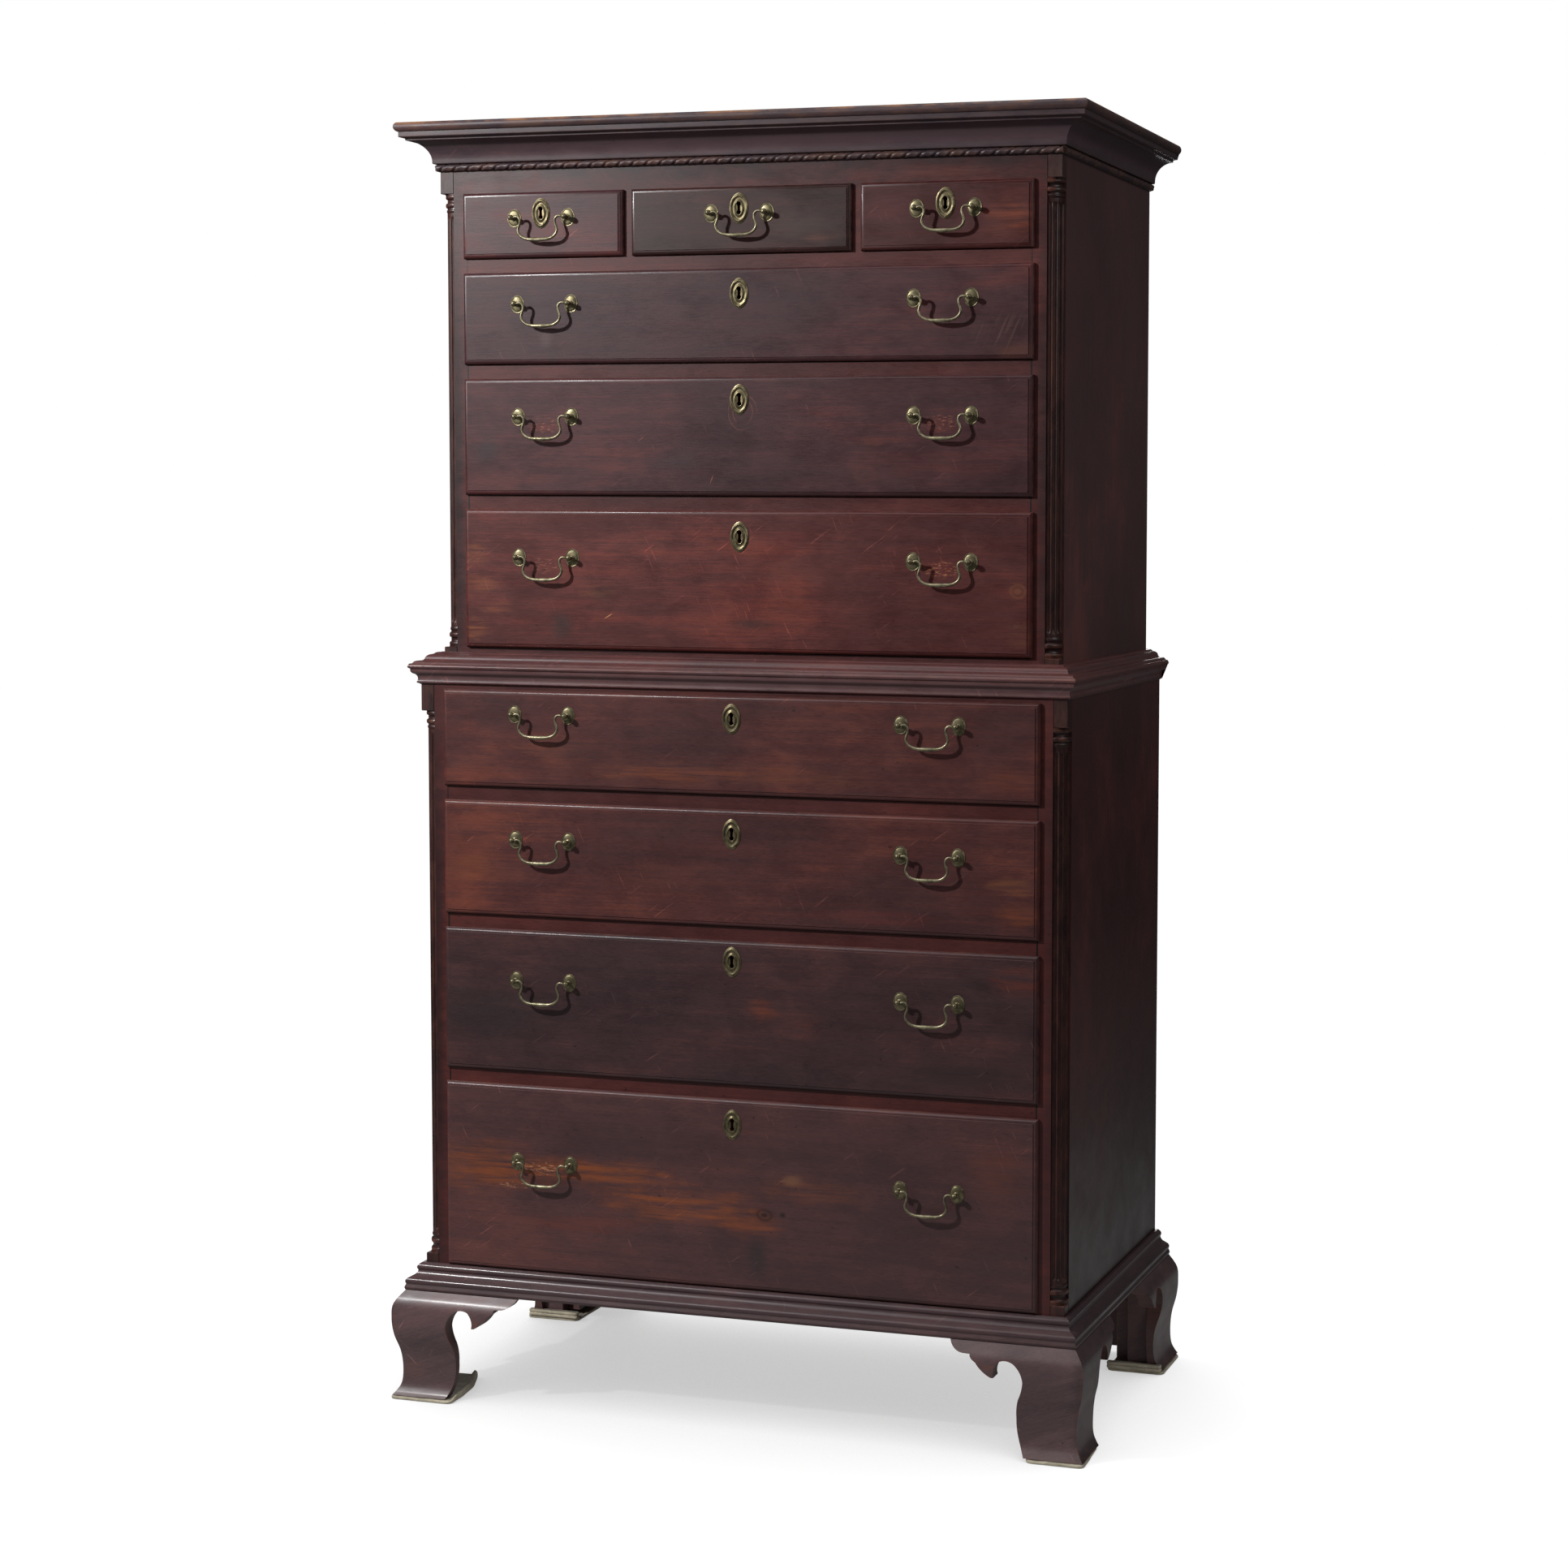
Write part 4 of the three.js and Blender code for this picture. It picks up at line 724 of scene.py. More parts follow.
foot_wood = varnished(
    "foot_wood", ((0.094, 0.057, 0.061), (0.131, 0.077, 0.081), (0.176, 0.093, 0.0915)), 7.0,
    (0.0, 0.35, 0.0), figure=0.12, scratch=1.0, bare=(0.13, 0.06, 0.045), coat=0.08, marks=[
        ("worn", -0.43, 0.128, 0.03, 0.012, (0.24, 0.075, 0.035), 0.8),
        ("worn", -0.525, 0.045, 0.03, 0.02, (0.2, 0.09, 0.05), 0.35),
        ("worn", 0.415, 0.135, 0.02, 0.008, (0.24, 0.075, 0.035), 0.6),
        # The right side of the feet is darkened: painted shade on the side away from the key lamp.
        ("cloud", 0.59, 0.07, 0.062, 0.4, (0.014, 0.012, 0.013), 0.95),
    ],
)
for hand, side in (("left", -1), ("right", 1)):
    half, leg = LOWER_HALF, BACK - REAR_LEG_EXTRA
    inner, outer = sorted((side * (half + BRACKET_BACK - SAW_PAST), side * (half + FOOT_REACH + SAW_PAST)))
    front = bracket(
        lambda along, x, z: (side * (half + x - along * (BRACKET + x) / BRACKET), LOWER_FACE - x, z),
        BRACKET, lambda point: half - abs(point[0]),
        prism([(side * (half - a), z) for a, z in below], "y",
              LOWER_FACE - FOOT_REACH - SAW_PAST, LOWER_FACE - BRACKET_BACK + SAW_PAST),
    )
    flank = bracket(
        lambda along, x, z: (side * (half + x), LOWER_FACE - x + along * (BRACKET + x) / BRACKET, z),
        BRACKET, lambda point: point[1] - LOWER_FACE,
        prism([(LOWER_FACE + a, z) for a, z in below], "x", inner, outer),
    )
    behind = LOWER_FACE - BRACKET_BACK - GLUED
    glue_block = foot_block(side, GLUE_BLOCK, BRACKET_BACK + GLUED, behind, LOWER_FACE + GLUE_BLOCK)
    shape = shells(worn_mitre(front), worn_mitre(flank), glue_block)
    piece(f"front_{hand}_ogee_foot", shape, foot_wood, "lower_chest", [f"front_{hand}_foot"], smooth=30)
    flank = bracket(
        lambda along, x, z: (side * (half + x), BACK - along, z), BRACKET + REAR_LEG_EXTRA,
        lambda point: leg - point[1], prism([(leg - a, z) for a, z in below], "x", inner, outer),
    )
    board_face = BACK - REAR_BOARD_THICKNESS
    shape = shells(
        flank,
        foot_block(side, REAR_BOARD, BRACKET_BACK + GLUED, board_face, BACK, REAR_BOARD_LIFT),
        foot_block(side, SIDE_BLOCK, BRACKET_BACK + GLUED, BACK - SIDE_BLOCK_LENGTH, board_face),
        foot_block(side, CORNER_BLOCK, -CORNER_BLOCK_START, BACK - CORNER_BLOCK_LENGTH, board_face),
    )
    piece(f"rear_{hand}_bracket_foot", shape, foot_wood, "lower_chest", [f"rear_{hand}_foot"], smooth=30)


# Felt pads under the feet, cut by hand from thick cream felt. The left front one has a flap that
# curls up on its inner side, and under the rear feet the felt is folded over on itself.
PAD_CORNER = 0.012
PAD_HALF = 0.564
# Rings of a layer from the floor up: (height share, how far in the edge is drawn)
felt_rings = [
    (0.0, 0.0022), (0.08, 0.0009), (0.25, 0.0002), (0.5, 0.0), (0.75, 0.0003), (0.93, 0.0012),
    (1.0, 0.0026), (1.0, 0.012),
]


def rounded_outline(corners, radius, spacing=0.003):
    """Evenly parted points round a shape with rounded corners."""
    rough = []
    for index, corner in enumerate(corners):
        after = corners[(index + 1) % len(corners)]
        rough += round_off(corner, corners[index - 1], after, radius, (0, 0.2, 0.4, 0.6, 0.8, 1))
    made = []
    for index, point in enumerate(rough):
        gap = rough[(index + 1) % len(rough)] - point
        parts = max(1, round(gap.length / spacing))
        made += [point + gap * (step / parts) for step in range(parts)]
    return made


def unevenness(point, scale, seed):
    return 0.5 + 0.5 * noise.noise(Vector((point.x * scale, point.y * scale, seed)))


def felt_layer(corners, foot, top, wave, seed, curl=None):
    """One layer of felt with a soft, uneven edge. curl gives how far the edge turns up at a point."""
    sides = [Vector(corner) - Vector(corners[index - 1]) for index, corner in enumerate(corners)]
    shortest = min(side.length for side in sides)
    ring = rounded_outline(corners, min(PAD_CORNER, 0.4 * shortest))
    count = len(ring)
    turns = zip(ring, ring[1:] + ring[:1])
    area = sum(here.x * after.y - after.x * here.y for here, after in turns)
    sign = 1 if area > 0 else -1
    loops = []
    for share, pull in felt_rings:
        loop = []
        for index, point in enumerate(ring):
            along = ring[(index + 1) % count] - ring[index - 1]
            outward = Vector((along.y, -along.x)).normalized() * sign
            spot = point - outward * (min(pull, 0.3 * shortest) + wave * unevenness(point, 45, seed))
            lift = foot + (top - foot) * share * (1 - 0.18 * unevenness(point, 38, seed + 5))
            if curl and pull < 0.01:
                lift += curl(point) * (0.2 + 0.8 * share)
            loop.append((spot.x, spot.y, lift))
        loops.append(loop)
    return skin(loops)


felt, tree, shader = blank("cream_felt")
place = placed(tree)
mottle = clouds(tree, place, (35.0, 35.0, 60.0), 5.0, 0.65)
hairs = clouds(tree, place, (900.0, 900.0, 500.0), 3.0, 0.7)
cream = blended(tree, spread(tree, mottle, 0.38, 0.62), (0.5, 0.44, 0.32), (0.78, 0.7, 0.53))
# Faces of the felt that look up are darkened: partly grime, partly painted shade of the foot above them.
normal = node(tree, "ShaderNodeNewGeometry").outputs["Normal"]
upward = node(tree, "ShaderNodeSeparateXYZ", {0: normal}).outputs[2]
grime_and_painted_shade = times(tree, spread(tree, upward, 0.85, 0.98), spread(tree, mottle, 0.35, 0.6, 0.9, 0.6))
cream = blended(tree, grime_and_painted_shade, cream, (0.085, 0.07, 0.05))
cream = blended(tree, spread(tree, hairs, 0.35, 0.65, 0.35, 0.0), cream, (0.25, 0.21, 0.15))
fed(tree, shader, {
    "Base Color": cream, "Normal": raised(tree, reckon(tree, "ADD", hairs, mottle), 0.0007, 0.8),
    "Roughness": 0.95, "Sheen Weight": 0.25, "Sheen Roughness": 0.5,
})


FLAP_HINGE = (-0.470, -0.222)
FLAP_ACROSS = (0.975, -0.22)
FLAP_RISE = 0.0075


def flap_curl(point):
    """The flap of the left front pad turns up along its inner side, most of all at the back."""
    line = (point.x - FLAP_HINGE[0]) * FLAP_ACROSS[0] - (point.y - FLAP_HINGE[1]) * FLAP_ACROSS[1]
    inner = max(0.0, min(1.0, 1 + line / 0.004))
    return FLAP_RISE * inner * max(0.0, min(1.0, (point.y + 0.288) / 0.02))


for hand, side in (("left", -1), ("right", 1)):
    low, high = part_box(f"front_{hand}_pad")
    outer, inner = side * PAD_HALF, side * 0.468
    if hand == "left":
        corners = [(-0.457, low.y), (-0.454, -0.262), (-0.461, -0.205), (-0.482, high.y), (outer, high.y)]
        front = felt_layer([(outer, low.y)] + corners, low.z, high.z, 0.0012, 3.1, flap_curl)
    else:
        corners = [(outer, low.y), (0.472, low.y), (0.466, high.y), (outer - 0.006, high.y)]
        front = felt_layer(corners, low.z, high.z, 0.0015, 5.2)
    low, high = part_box(f"rear_{hand}_pad")
    corners = [(outer, low.y + 0.003), (inner, low.y + 0.003), (inner, high.y), (outer, high.y)]
    tip = outer - side * 0.004
    fold = [(tip, low.y), (inner, low.y), (inner, low.y + 0.013), (tip, low.y + 0.013)]
    rear = shells(
        felt_layer(corners, low.z, 0.0059, 0.001, side * 2.3),
        felt_layer(fold, 0.0052, 0.0115, 0.0008, side * 4.7),
        felt_layer(fold, 0.0108, high.z, 0.0012, side * 6.1),
    )
    for end, shape in (("front", front), ("rear", rear)):
        name = f"{end}_{hand}"
        pad = piece(f"{name}_felt", shape, felt, "lower_chest", [f"{name}_pad"], smooth=50, slot="felt")


# Waist moulding, which the upper case stands in. It is mitred like the base: a bead, a hollow and
# an ovolo under the nose, and a sloping upper face that runs in to the upper case.
WAIST_REACH = 0.015
WAIST_DROP = 0.031
WAIST_RISE = 0.0185
WAIST_CLEAR = 0.0006
LEDGE = 0.0003
LOWER_TOP = 1.148
UPPER_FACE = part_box("upper_drawer_frame")[0].y
UPPER_HALF = 0.497
waist_face_rows = [
    (0.02, 0.0), (0.2, 0.06, 0.0, 0.2), (0.27, 0.17, 0.8, 0.3), (0.25, 0.22), (0.48, 0.52, -0.3, 0.0),
    (0.8, 0.66, 0.25, 0.2), (0.82, 0.79), (0.94, 0.81, 0.0, 0.6), (1.0, 0.94, 0.3, 0.8),
]
waist_slope_rows = [
    (0.955, 0.06, 0.0, 0.7), (0.87, 0.085), (0.72, 0.285, 0.35, 0.3), (0.6, 0.305, 0.0, 0.3),
    (0.53, 0.46, -0.2, 0.0), (0.34, 0.81, 0.35, 0.4), (0.272, 0.854), (0.1, 0.97, 0.3, 0.4), (0.06, 1.0),
]


def waist_section(setback):
    inner = WAIST_CLEAR - setback
    face = [(x, z - WAIST_DROP, worn) for x, z, worn in outline(waist_face_rows, WAIST_REACH, WAIST_DROP)]
    slope = outline(waist_slope_rows, WAIST_REACH - inner, WAIST_RISE)
    slope = [(x + inner, z, worn) for x, z, worn in slope]
    seat = [(inner, WAIST_RISE, 0.0), (inner, LEDGE, 0.0), (LEDGE, LEDGE, 0.0)]
    return eased(face + slope + seat, 0.0006)


waist_wood = varnished(
    "waist_wood", ((0.0642, 0.0239, 0.0248), (0.0931, 0.031, 0.0308), (0.1293, 0.0419, 0.0374)), 8.0,
    figure=0.15, scratch=0.8, bare=(0.2, 0.075, 0.05), coat=0.25, marks=[
        # A paler, greyer band over the face below the nose: painted sheen.
        ("cloud", 0.0, LOWER_TOP - 0.015, 2.0, 0.017, (0.165, 0.085, 0.088), 0.85),
    ],
)
side_section, front_section = waist_section(LOWER_HALF - UPPER_HALF), waist_section(UPPER_FACE - LOWER_FACE)
waist_run = mitred(side_section, front_section, LOWER_HALF, LOWER_FACE, BACK, LOWER_TOP)
piece("waist_moulding_run", waist_run, waist_wood, "lower_chest", ["waist_moulding"], smooth=28)


# Cornice of the upper case: a deep cove under a nosing board, mitred at the corners, with a rope
# bead carved along its foot. The top edge has lost its finish.
CORNICE_REACH = 0.052
CORNICE_HEIGHT = 0.0715
CORNICE_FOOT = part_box("cornice")[0].z
cornice_rows = [
    (0.006, 0.0), (0.062, 0.013), (0.062, 0.158), (0.11, 0.162, 0.0, 0.2), (0.168, 0.172, 0.0, 0.3),
    (0.172, 0.205), (0.74, 0.632, -0.414, 0.0), (0.745, 0.674, 0.0, 0.4), (0.84, 0.686),
    (0.888, 0.7, 0.2, 0.3), (0.888, 0.802), (0.92, 0.807, 0.0, 0.4), (0.93, 1.0, 0.57, 0.0), (0.79, 1.0),
    (0.006, 1.0),
]
cornice_wood = varnished(
    "cornice_wood", ((0.042, 0.028, 0.034), (0.061, 0.037, 0.043), (0.1, 0.05, 0.052)), 9.0,
    figure=0.2, bare=(0.26, 0.115, 0.05), coat=0.0, marks=[
        ("cloud", 0.25, CORNICE_FOOT + 0.031, 1.2, 0.026, (0.105, 0.06, 0.07), 0.75),
    ],
)
section = eased(outline(cornice_rows, CORNICE_REACH, CORNICE_HEIGHT, 14), 0.0007)
bare_from, bare_out = CORNICE_HEIGHT * 0.955, CORNICE_REACH * 0.8
section = [(x, z, 1.0 if z > bare_from and x > bare_out else worn) for x, z, worn in section]
cornice_run = mitred(section, section, UPPER_HALF, UPPER_FACE, BACK, CORNICE_FOOT)
piece("cornice_run", cornice_run, cornice_wood, "upper_chest", ["cornice"], smooth=28)

ROPE_RADIUS = 0.0051
ROPE_PITCH = 0.0228
ROPE_CUT = 0.0023
ROPE_LEAN = 1.35
ROPE_GROOVE = 0.15
ROPE_SWELL = 0.0003
ROPE_STEPS = 12
ROPE_AROUND = 14
ROPE_ARC = math.radians(100)


def rope(start, end, outward):
    """A bead from start to end whose grooves wind round it like the strands of a rope."""
    run = end - start
    steps = round(run.length / (ROPE_PITCH / ROPE_STEPS))
    loops = []
    for step in range(steps + 1):
        far = run.length * step / steps
        loop = []
        for turn in range(ROPE_AROUND + 1):
            angle = -ROPE_ARC + 2 * ROPE_ARC * turn / ROPE_AROUND
            phase = (far / ROPE_PITCH - angle / (2 * math.pi) * ROPE_LEAN) % 1.0
            groove = max(0.0, 1 - abs(phase - 0.5) / ROPE_GROOVE)
            radius = ROPE_RADIUS - ROPE_CUT * groove ** 0.75 - ROPE_SWELL * math.cos(2 * math.pi * phase)
            spot = start + run * (step / steps) + outward * (radius * math.cos(angle))
            loop.append(spot + Vector((0, 0, radius * math.sin(angle))))
        loops.append(loop)
    return skin(loops, [0.25] * len(loops))


rope_reach, rope_height = 0.065 * CORNICE_REACH, CORNICE_FOOT + 0.0855 * CORNICE_HEIGHT
front_left, front_right, back_left, back_right = (
    Vector((side * (UPPER_HALF + rope_reach), y, rope_height))
    for y in (UPPER_FACE - rope_reach, BACK) for side in (-1, 1)
)
rope_bead = shells(
    rope(front_left, front_right, Vector((0, -1, 0))), rope(front_right, back_right, Vector((1, 0, 0))),
    rope(back_left, front_left, Vector((-1, 0, 0))),
)
piece("cornice_rope_bead", rope_bead, cornice_wood, "upper_chest", smooth=60)


# Drawer fronts, ten in all. Each is one board of cherry with a thumb-moulded lip all round,
# pins for the dovetails behind it at both ends, and a hole for the key.
LIP = 0.004
LIP_FOOT = 0.001
LIP_THICKNESS = 0.009
THUMB_WIDTH = 0.0065
THUMB_EDGE = 0.0024
THUMB_STEP = 0.0011
# Wear across the thumb moulding, from the lip's edge to the face
thumb_wear = (1.0, 0.9, 0.6, 0.3, 0.1, 0.0, 0.0, 0.0, 0.15)
BODY = 0.014
BODY_LAP = 0.0027
DRAWER_SIDE = 0.012
SLIDE_GAP = 0.0015
TAIL_PITCH = 0.084
TAIL_NECK = 0.27
TAIL_END = 0.36
JOINT_GAP = 0.0003
BOTTOM_GAP = 0.0013
TOP_GAP = 0.003
KEY_HEIGHT = 0.019
KEY_WIDTH = 0.007
KEY_NECK = 0.0045


def key_loop(middle, height, y, count=48):
    """The outline of a keyhole that is round at both ends and narrower between them, from its top
    to the right and round, with evenly parted points."""
    radius, neck = KEY_WIDTH / 2, KEY_NECK / 2
    centre = KEY_HEIGHT / 2 - radius
    meet = math.pi - math.asin(neck / radius)
    angles = [meet * step / 12 for step in range(13)]
    right = [(radius * math.sin(angle), centre + radius * math.cos(angle)) for angle in angles]
    right += [(x, -z) for x, z in reversed(right)]
    rough = [Vector(point) for point in right + [(-x, z) for x, z in reversed(right[1:-1])]]
    spans = [(rough[(index + 1) % len(rough)] - point).length for index, point in enumerate(rough)]
    made = []
    for step in range(count):
        far, index = sum(spans) * step / count, 0
        while far > spans[index]:
            far -= spans[index]
            index += 1
        spot = rough[index].lerp(rough[(index + 1) % len(rough)], far / spans[index])
        made.append((middle + spot.x, y, height + spot.y))
    return made


def sheet_with_hole(outer, hole):
    """Triangles between an outer loop and a hole."""
    flat = bmesh.new()
    edges = []
    for loop in (outer, hole):
        corners = [flat.verts.new(point) for point in loop]
        edges += [flat.edges.new((corners[i - 1], corners[i])) for i in range(len(corners))]
    bmesh.ops.triangle_fill(flat, edges=edges, use_beauty=True, use_dissolve=False)
    flat.verts.index_update()
    points = [vertex.co.copy() for vertex in flat.verts]
    faces = [[vertex.index for vertex in face.verts] for face in flat.faces]
    flat.free()
    return points, faces, [0.0] * len(points)


def rectangle(x0, x1, z0, z1, y):
    return [(x0, y, z0), (x1, y, z0), (x1, y, z1), (x0, y, z1)]


def lipped_front(middle, half_opening, foot, top, face, key_height):
    half, out = half_opening - SLIDE_GAP, half_opening + LIP
    core = half - DRAWER_SIDE - JOINT_GAP
    z0, z1 = foot + BOTTOM_GAP, top - TOP_GAP
    lip0, lip1 = foot + LIP_FOOT, top + LIP
    body = ((core, BODY), (core, BODY_LAP), (half, BODY_LAP), (half, -JOINT_GAP))
    loops = [(rectangle(middle - wide, middle + wide, z0, z1, face + deep), 0.0) for wide, deep in body]
    loops.append((rectangle(middle - out, middle + out, lip0, lip1, face - JOINT_GAP), 0.5))
    crown = LIP_THICKNESS - THUMB_STEP
    lip = []
    for step, worn in enumerate(thumb_wear):
        angle = step / (len(thumb_wear) - 1) * math.pi / 2
        rise = THUMB_EDGE + (crown - THUMB_EDGE) * math.sin(angle)
        lip.append((THUMB_WIDTH * (1 - math.cos(angle)), face - rise, worn))
    for inset, drop, worn in ((0.0001, THUMB_STEP * 0.3, 0.1), (0.0004, 0.0, 0.5), (0.0012, 0.0, 0.0)):
        lip.append((inset + THUMB_WIDTH, face - LIP_THICKNESS + drop, worn))
    for inset, y, worn in lip:
        around = rectangle(middle - out + inset, middle + out - inset, lip0 + inset, lip1 - inset, y)
        loops.append((around, worn))
    front_hole = key_loop(middle, key_height, face - LIP_THICKNESS)
    rear_hole = key_loop(middle, key_height, face + BODY)
    parts = [
        skin([loop for loop, _ in loops], [worn for _, worn in loops], ends="open"),
        sheet_with_hole(loops[-1][0], front_hole), sheet_with_hole(loops[0][0], rear_hole),
        skin([front_hole, rear_hole], ends="open"),
    ]
    tails = max(2, round((z1 - z0) / TAIL_PITCH))
    pitch = (z1 - z0) / tails
    neck, end = TAIL_NECK * pitch, TAIL_END * pitch
    for index in range(tails + 1):
        below_pin, above_pin = z0 + (index - 0.5) * pitch, z0 + (index + 0.5) * pitch
        low_neck, low_end = (
            z0 if index == 0 else below_pin + reach + JOINT_GAP for reach in (neck, end)
        )
        high_neck, high_end = (
            z1 if index == tails else above_pin - reach - JOINT_GAP for reach in (neck, end)
        )
        behind, before = face + BODY, face + BODY_LAP
        pin = [(behind, low_neck), (behind, high_neck), (before, high_end), (before, low_end)]
        parts.append(prism(pin, "x", middle + core, middle + half))
        parts.append(prism(pin, "x", middle - half, middle - core))
    return shells(*parts)


# The colours of the fronts, each from dark to light
RED = ((0.063, 0.0138, 0.0136), (0.0921, 0.0186, 0.0169), (0.1749, 0.0316, 0.0202))
SCARLET = ((0.0494, 0.0077, 0.0073), (0.0766, 0.0112, 0.0097), (0.1192, 0.0185, 0.0123))
PLUM = ((0.0396, 0.0127, 0.0163), (0.0611, 0.016, 0.0189), (0.1119, 0.0238, 0.0219))
BROWN = ((0.0605, 0.0204, 0.0213), (0.0944, 0.027, 0.0243), (0.172, 0.0424, 0.0254))
DUSKY = ((0.0407, 0.0196, 0.0221), (0.0616, 0.0249, 0.0265), (0.0968, 0.0329, 0.0297))
WARM = ((0.0685, 0.0306, 0.0323), (0.1028, 0.0396, 0.0389), (0.1515, 0.0523, 0.0436))
OLIVE = ((0.0209, 0.0059, 0.0049), (0.0342, 0.0082, 0.0068), (0.057, 0.0127, 0.0093))
knot_dark = (0.018, 0.009, 0.008)


def behind_bail(x, z, strength=0.6, tint=(0.28, 0.1, 0.06)):
    """The finish worn off by the bail: a red ground with pale flecks along the grain."""
    return [
        ("worn", x, z - 0.012, 0.036, 0.022, (0.13, 0.026, 0.022), strength),
        ("flecks", x, z - 0.012, 0.032, 0.016, tint, strength),
    ]


# Marks of each front, placed by their x and z on the chest
lower_4_marks = [
    ("cloud", 0.0, 0.43, 0.5, 0.05, (0.05, 0.024, 0.025), 0.5),
    ("worn", -0.42, 0.372, 0.13, 0.055, (0.25, 0.066, 0.021), 0.85),
    ("worn", -0.24, 0.372, 0.2, 0.034, (0.28, 0.072, 0.02), 0.85),
    ("worn", -0.08, 0.333, 0.17, 0.036, (0.29, 0.074, 0.019), 0.9),
    ("worn", 0.03, 0.312, 0.07, 0.026, (0.25, 0.064, 0.022), 0.75),
    ("worn", 0.13, 0.37, 0.12, 0.03, (0.2, 0.062, 0.03), 0.6),
    ("worn", -0.25, 0.293, 0.16, 0.018, (0.17, 0.04, 0.026), 0.6),
    ("worn", 0.42, 0.42, 0.07, 0.07, (0.15, 0.045, 0.028), 0.55),
    ("cloud", 0.096, 0.385, 0.022, 0.016, (0.26, 0.12, 0.06), 0.5),
    ("knot", 0.052, 0.329, 0.022, 0.015, (0.03, 0.01, 0.008), 0.9),
    ("cloud", 0.081, 0.331, 0.0075, 0.006, knot_dark, 0.95),
    ("knot", -0.336, 0.423, 0.011, 0.008, (0.06, 0.03, 0.02), 0.7),
    ("cloud", 0.041, 0.262, 0.022, 0.04, (0.02, 0.021, 0.022), 0.6),
    ("flecks", -0.318, 0.376, 0.036, 0.016, (0.55, 0.24, 0.12), 0.8),
    ("flecks", -0.36, 0.345, 0.04, 0.006, (0.5, 0.22, 0.1), 0.7),
]
lower_3_marks = [
    ("worn", 0.05, 0.639, 0.035, 0.022, (0.17, 0.042, 0.022), 0.8),
    ("worn", 0.106, 0.622, 0.05, 0.045, (0.12, 0.034, 0.024), 0.6),
    ("worn", 0.45, 0.705, 0.06, 0.035, (0.14, 0.032, 0.02), 0.75),
    ("cloud", -0.4, 0.62, 0.12, 0.07, (0.03, 0.02, 0.021), 0.6),
    ("cloud", 0.36, 0.56, 0.16, 0.03, (0.036, 0.02, 0.021), 0.6),
    ("knot", 0.12, 0.561, 0.009, 0.01, knot_dark, 0.6),
]
lower_2_marks = [
    ("worn", -0.435, 0.835, 0.05, 0.03, (0.2, 0.056, 0.024), 0.8),
    ("worn", -0.44, 0.782, 0.05, 0.018, (0.17, 0.042, 0.024), 0.7),
    ("worn", 0.44, 0.842, 0.06, 0.018, (0.22, 0.075, 0.03), 0.75),
    ("worn", 0.45, 0.798, 0.05, 0.028, (0.18, 0.048, 0.022), 0.8),
    ("worn", -0.11, 0.832, 0.13, 0.04, (0.12, 0.033, 0.022), 0.6),
    ("worn", 0.23, 0.788, 0.12, 0.018, (0.12, 0.026, 0.022), 0.6),
]
lower_1_marks = [
    ("worn", -0.09, 0.992, 0.2, 0.026, (0.19, 0.05, 0.022), 0.75),
    ("worn", 0.12, 0.992, 0.16, 0.022, (0.15, 0.045, 0.024), 0.6),
    ("worn", -0.4, 0.984, 0.1, 0.018, (0.17, 0.04, 0.024), 0.7),
    ("worn", 0.43, 0.996, 0.06, 0.03, (0.17, 0.042, 0.022), 0.75),
    ("worn", -0.432, 1.059, 0.025, 0.018, (0.15, 0.036, 0.024), 0.6),
    ("cloud", -0.24, 1.02, 0.14, 0.03, (0.04, 0.018, 0.019), 0.5),
]
upper_3_marks = [
    ("worn", -0.438, 1.317, 0.03, 0.026, (0.24, 0.072, 0.03), 0.85),
    ("worn", -0.428, 1.272, 0.035, 0.022, (0.24, 0.072, 0.03), 0.7),
    ("worn", -0.438, 1.205, 0.03, 0.024, (0.27, 0.085, 0.034), 0.9),
    ("worn", -0.4, 1.237, 0.05, 0.012, (0.21, 0.06, 0.03), 0.7),
    ("cloud", -0.226, 1.26, 0.028, 0.014, knot_dark, 0.7),
    ("worn", -0.235, 1.265, 0.045, 0.022, (0.18, 0.055, 0.03), 0.6),
    ("cloud", -0.291, 1.21, 0.03, 0.03, (0.04, 0.02, 0.018), 0.8, 0.5),
    ("line", -0.215, 1.226, 0.01, 0.0011, (0.5, 0.22, 0.09), 0.9, 0.55),
    ("worn", 0.045, 1.345, 0.09, 0.014, (0.16, 0.03, 0.022), 0.7),
    ("cloud", 0.085, 1.3, 0.16, 0.03, (0.12, 0.03, 0.024), 0.5),
    ("knot", 0.436, 1.272, 0.02, 0.018, (0.18, 0.062, 0.028), 0.7),
    ("worn", -0.01, 1.235, 0.06, 0.02, (0.16, 0.03, 0.022), 0.6),
    ("cloud", 0.02, 1.218, 0.05, 0.014, (0.045, 0.018, 0.017), 0.6),
    ("worn", 0.44, 1.21, 0.03, 0.026, (0.17, 0.055, 0.026), 0.7), *behind_bail(-0.319, 1.3138, 0.9),
    *behind_bail(0.319, 1.3138, 1.0, (0.4, 0.15, 0.07)),
]
upper_2_marks = [
    ("ghost", 0.005, 1.534, 0.027, 0.031, (0.2, 0.062, 0.036), 0.7),
    ("cloud", 0.201, 1.441, 0.01, 0.008, knot_dark, 0.95),
    ("knot", 0.2, 1.442, 0.032, 0.02, (0.11, 0.026, 0.02), 0.5),
    ("worn", 0.213, 1.488, 0.03, 0.012, (0.15, 0.045, 0.026), 0.6),
    ("cloud", -0.417, 1.478, 0.03, 0.034, (0.035, 0.021, 0.024), 0.7),
    ("cloud", -0.1, 1.46, 0.06, 0.026, (0.045, 0.024, 0.027), 0.6),
    ("worn", 0.3, 1.45, 0.16, 0.03, (0.12, 0.028, 0.021), 0.5),
    ("line", -0.045, 1.434, 0.009, 0.0008, (0.3, 0.11, 0.06), 0.7, 1.2), *behind_bail(-0.319, 1.5282, 0.8),
    *behind_bail(0.319, 1.5282, 0.8),
]
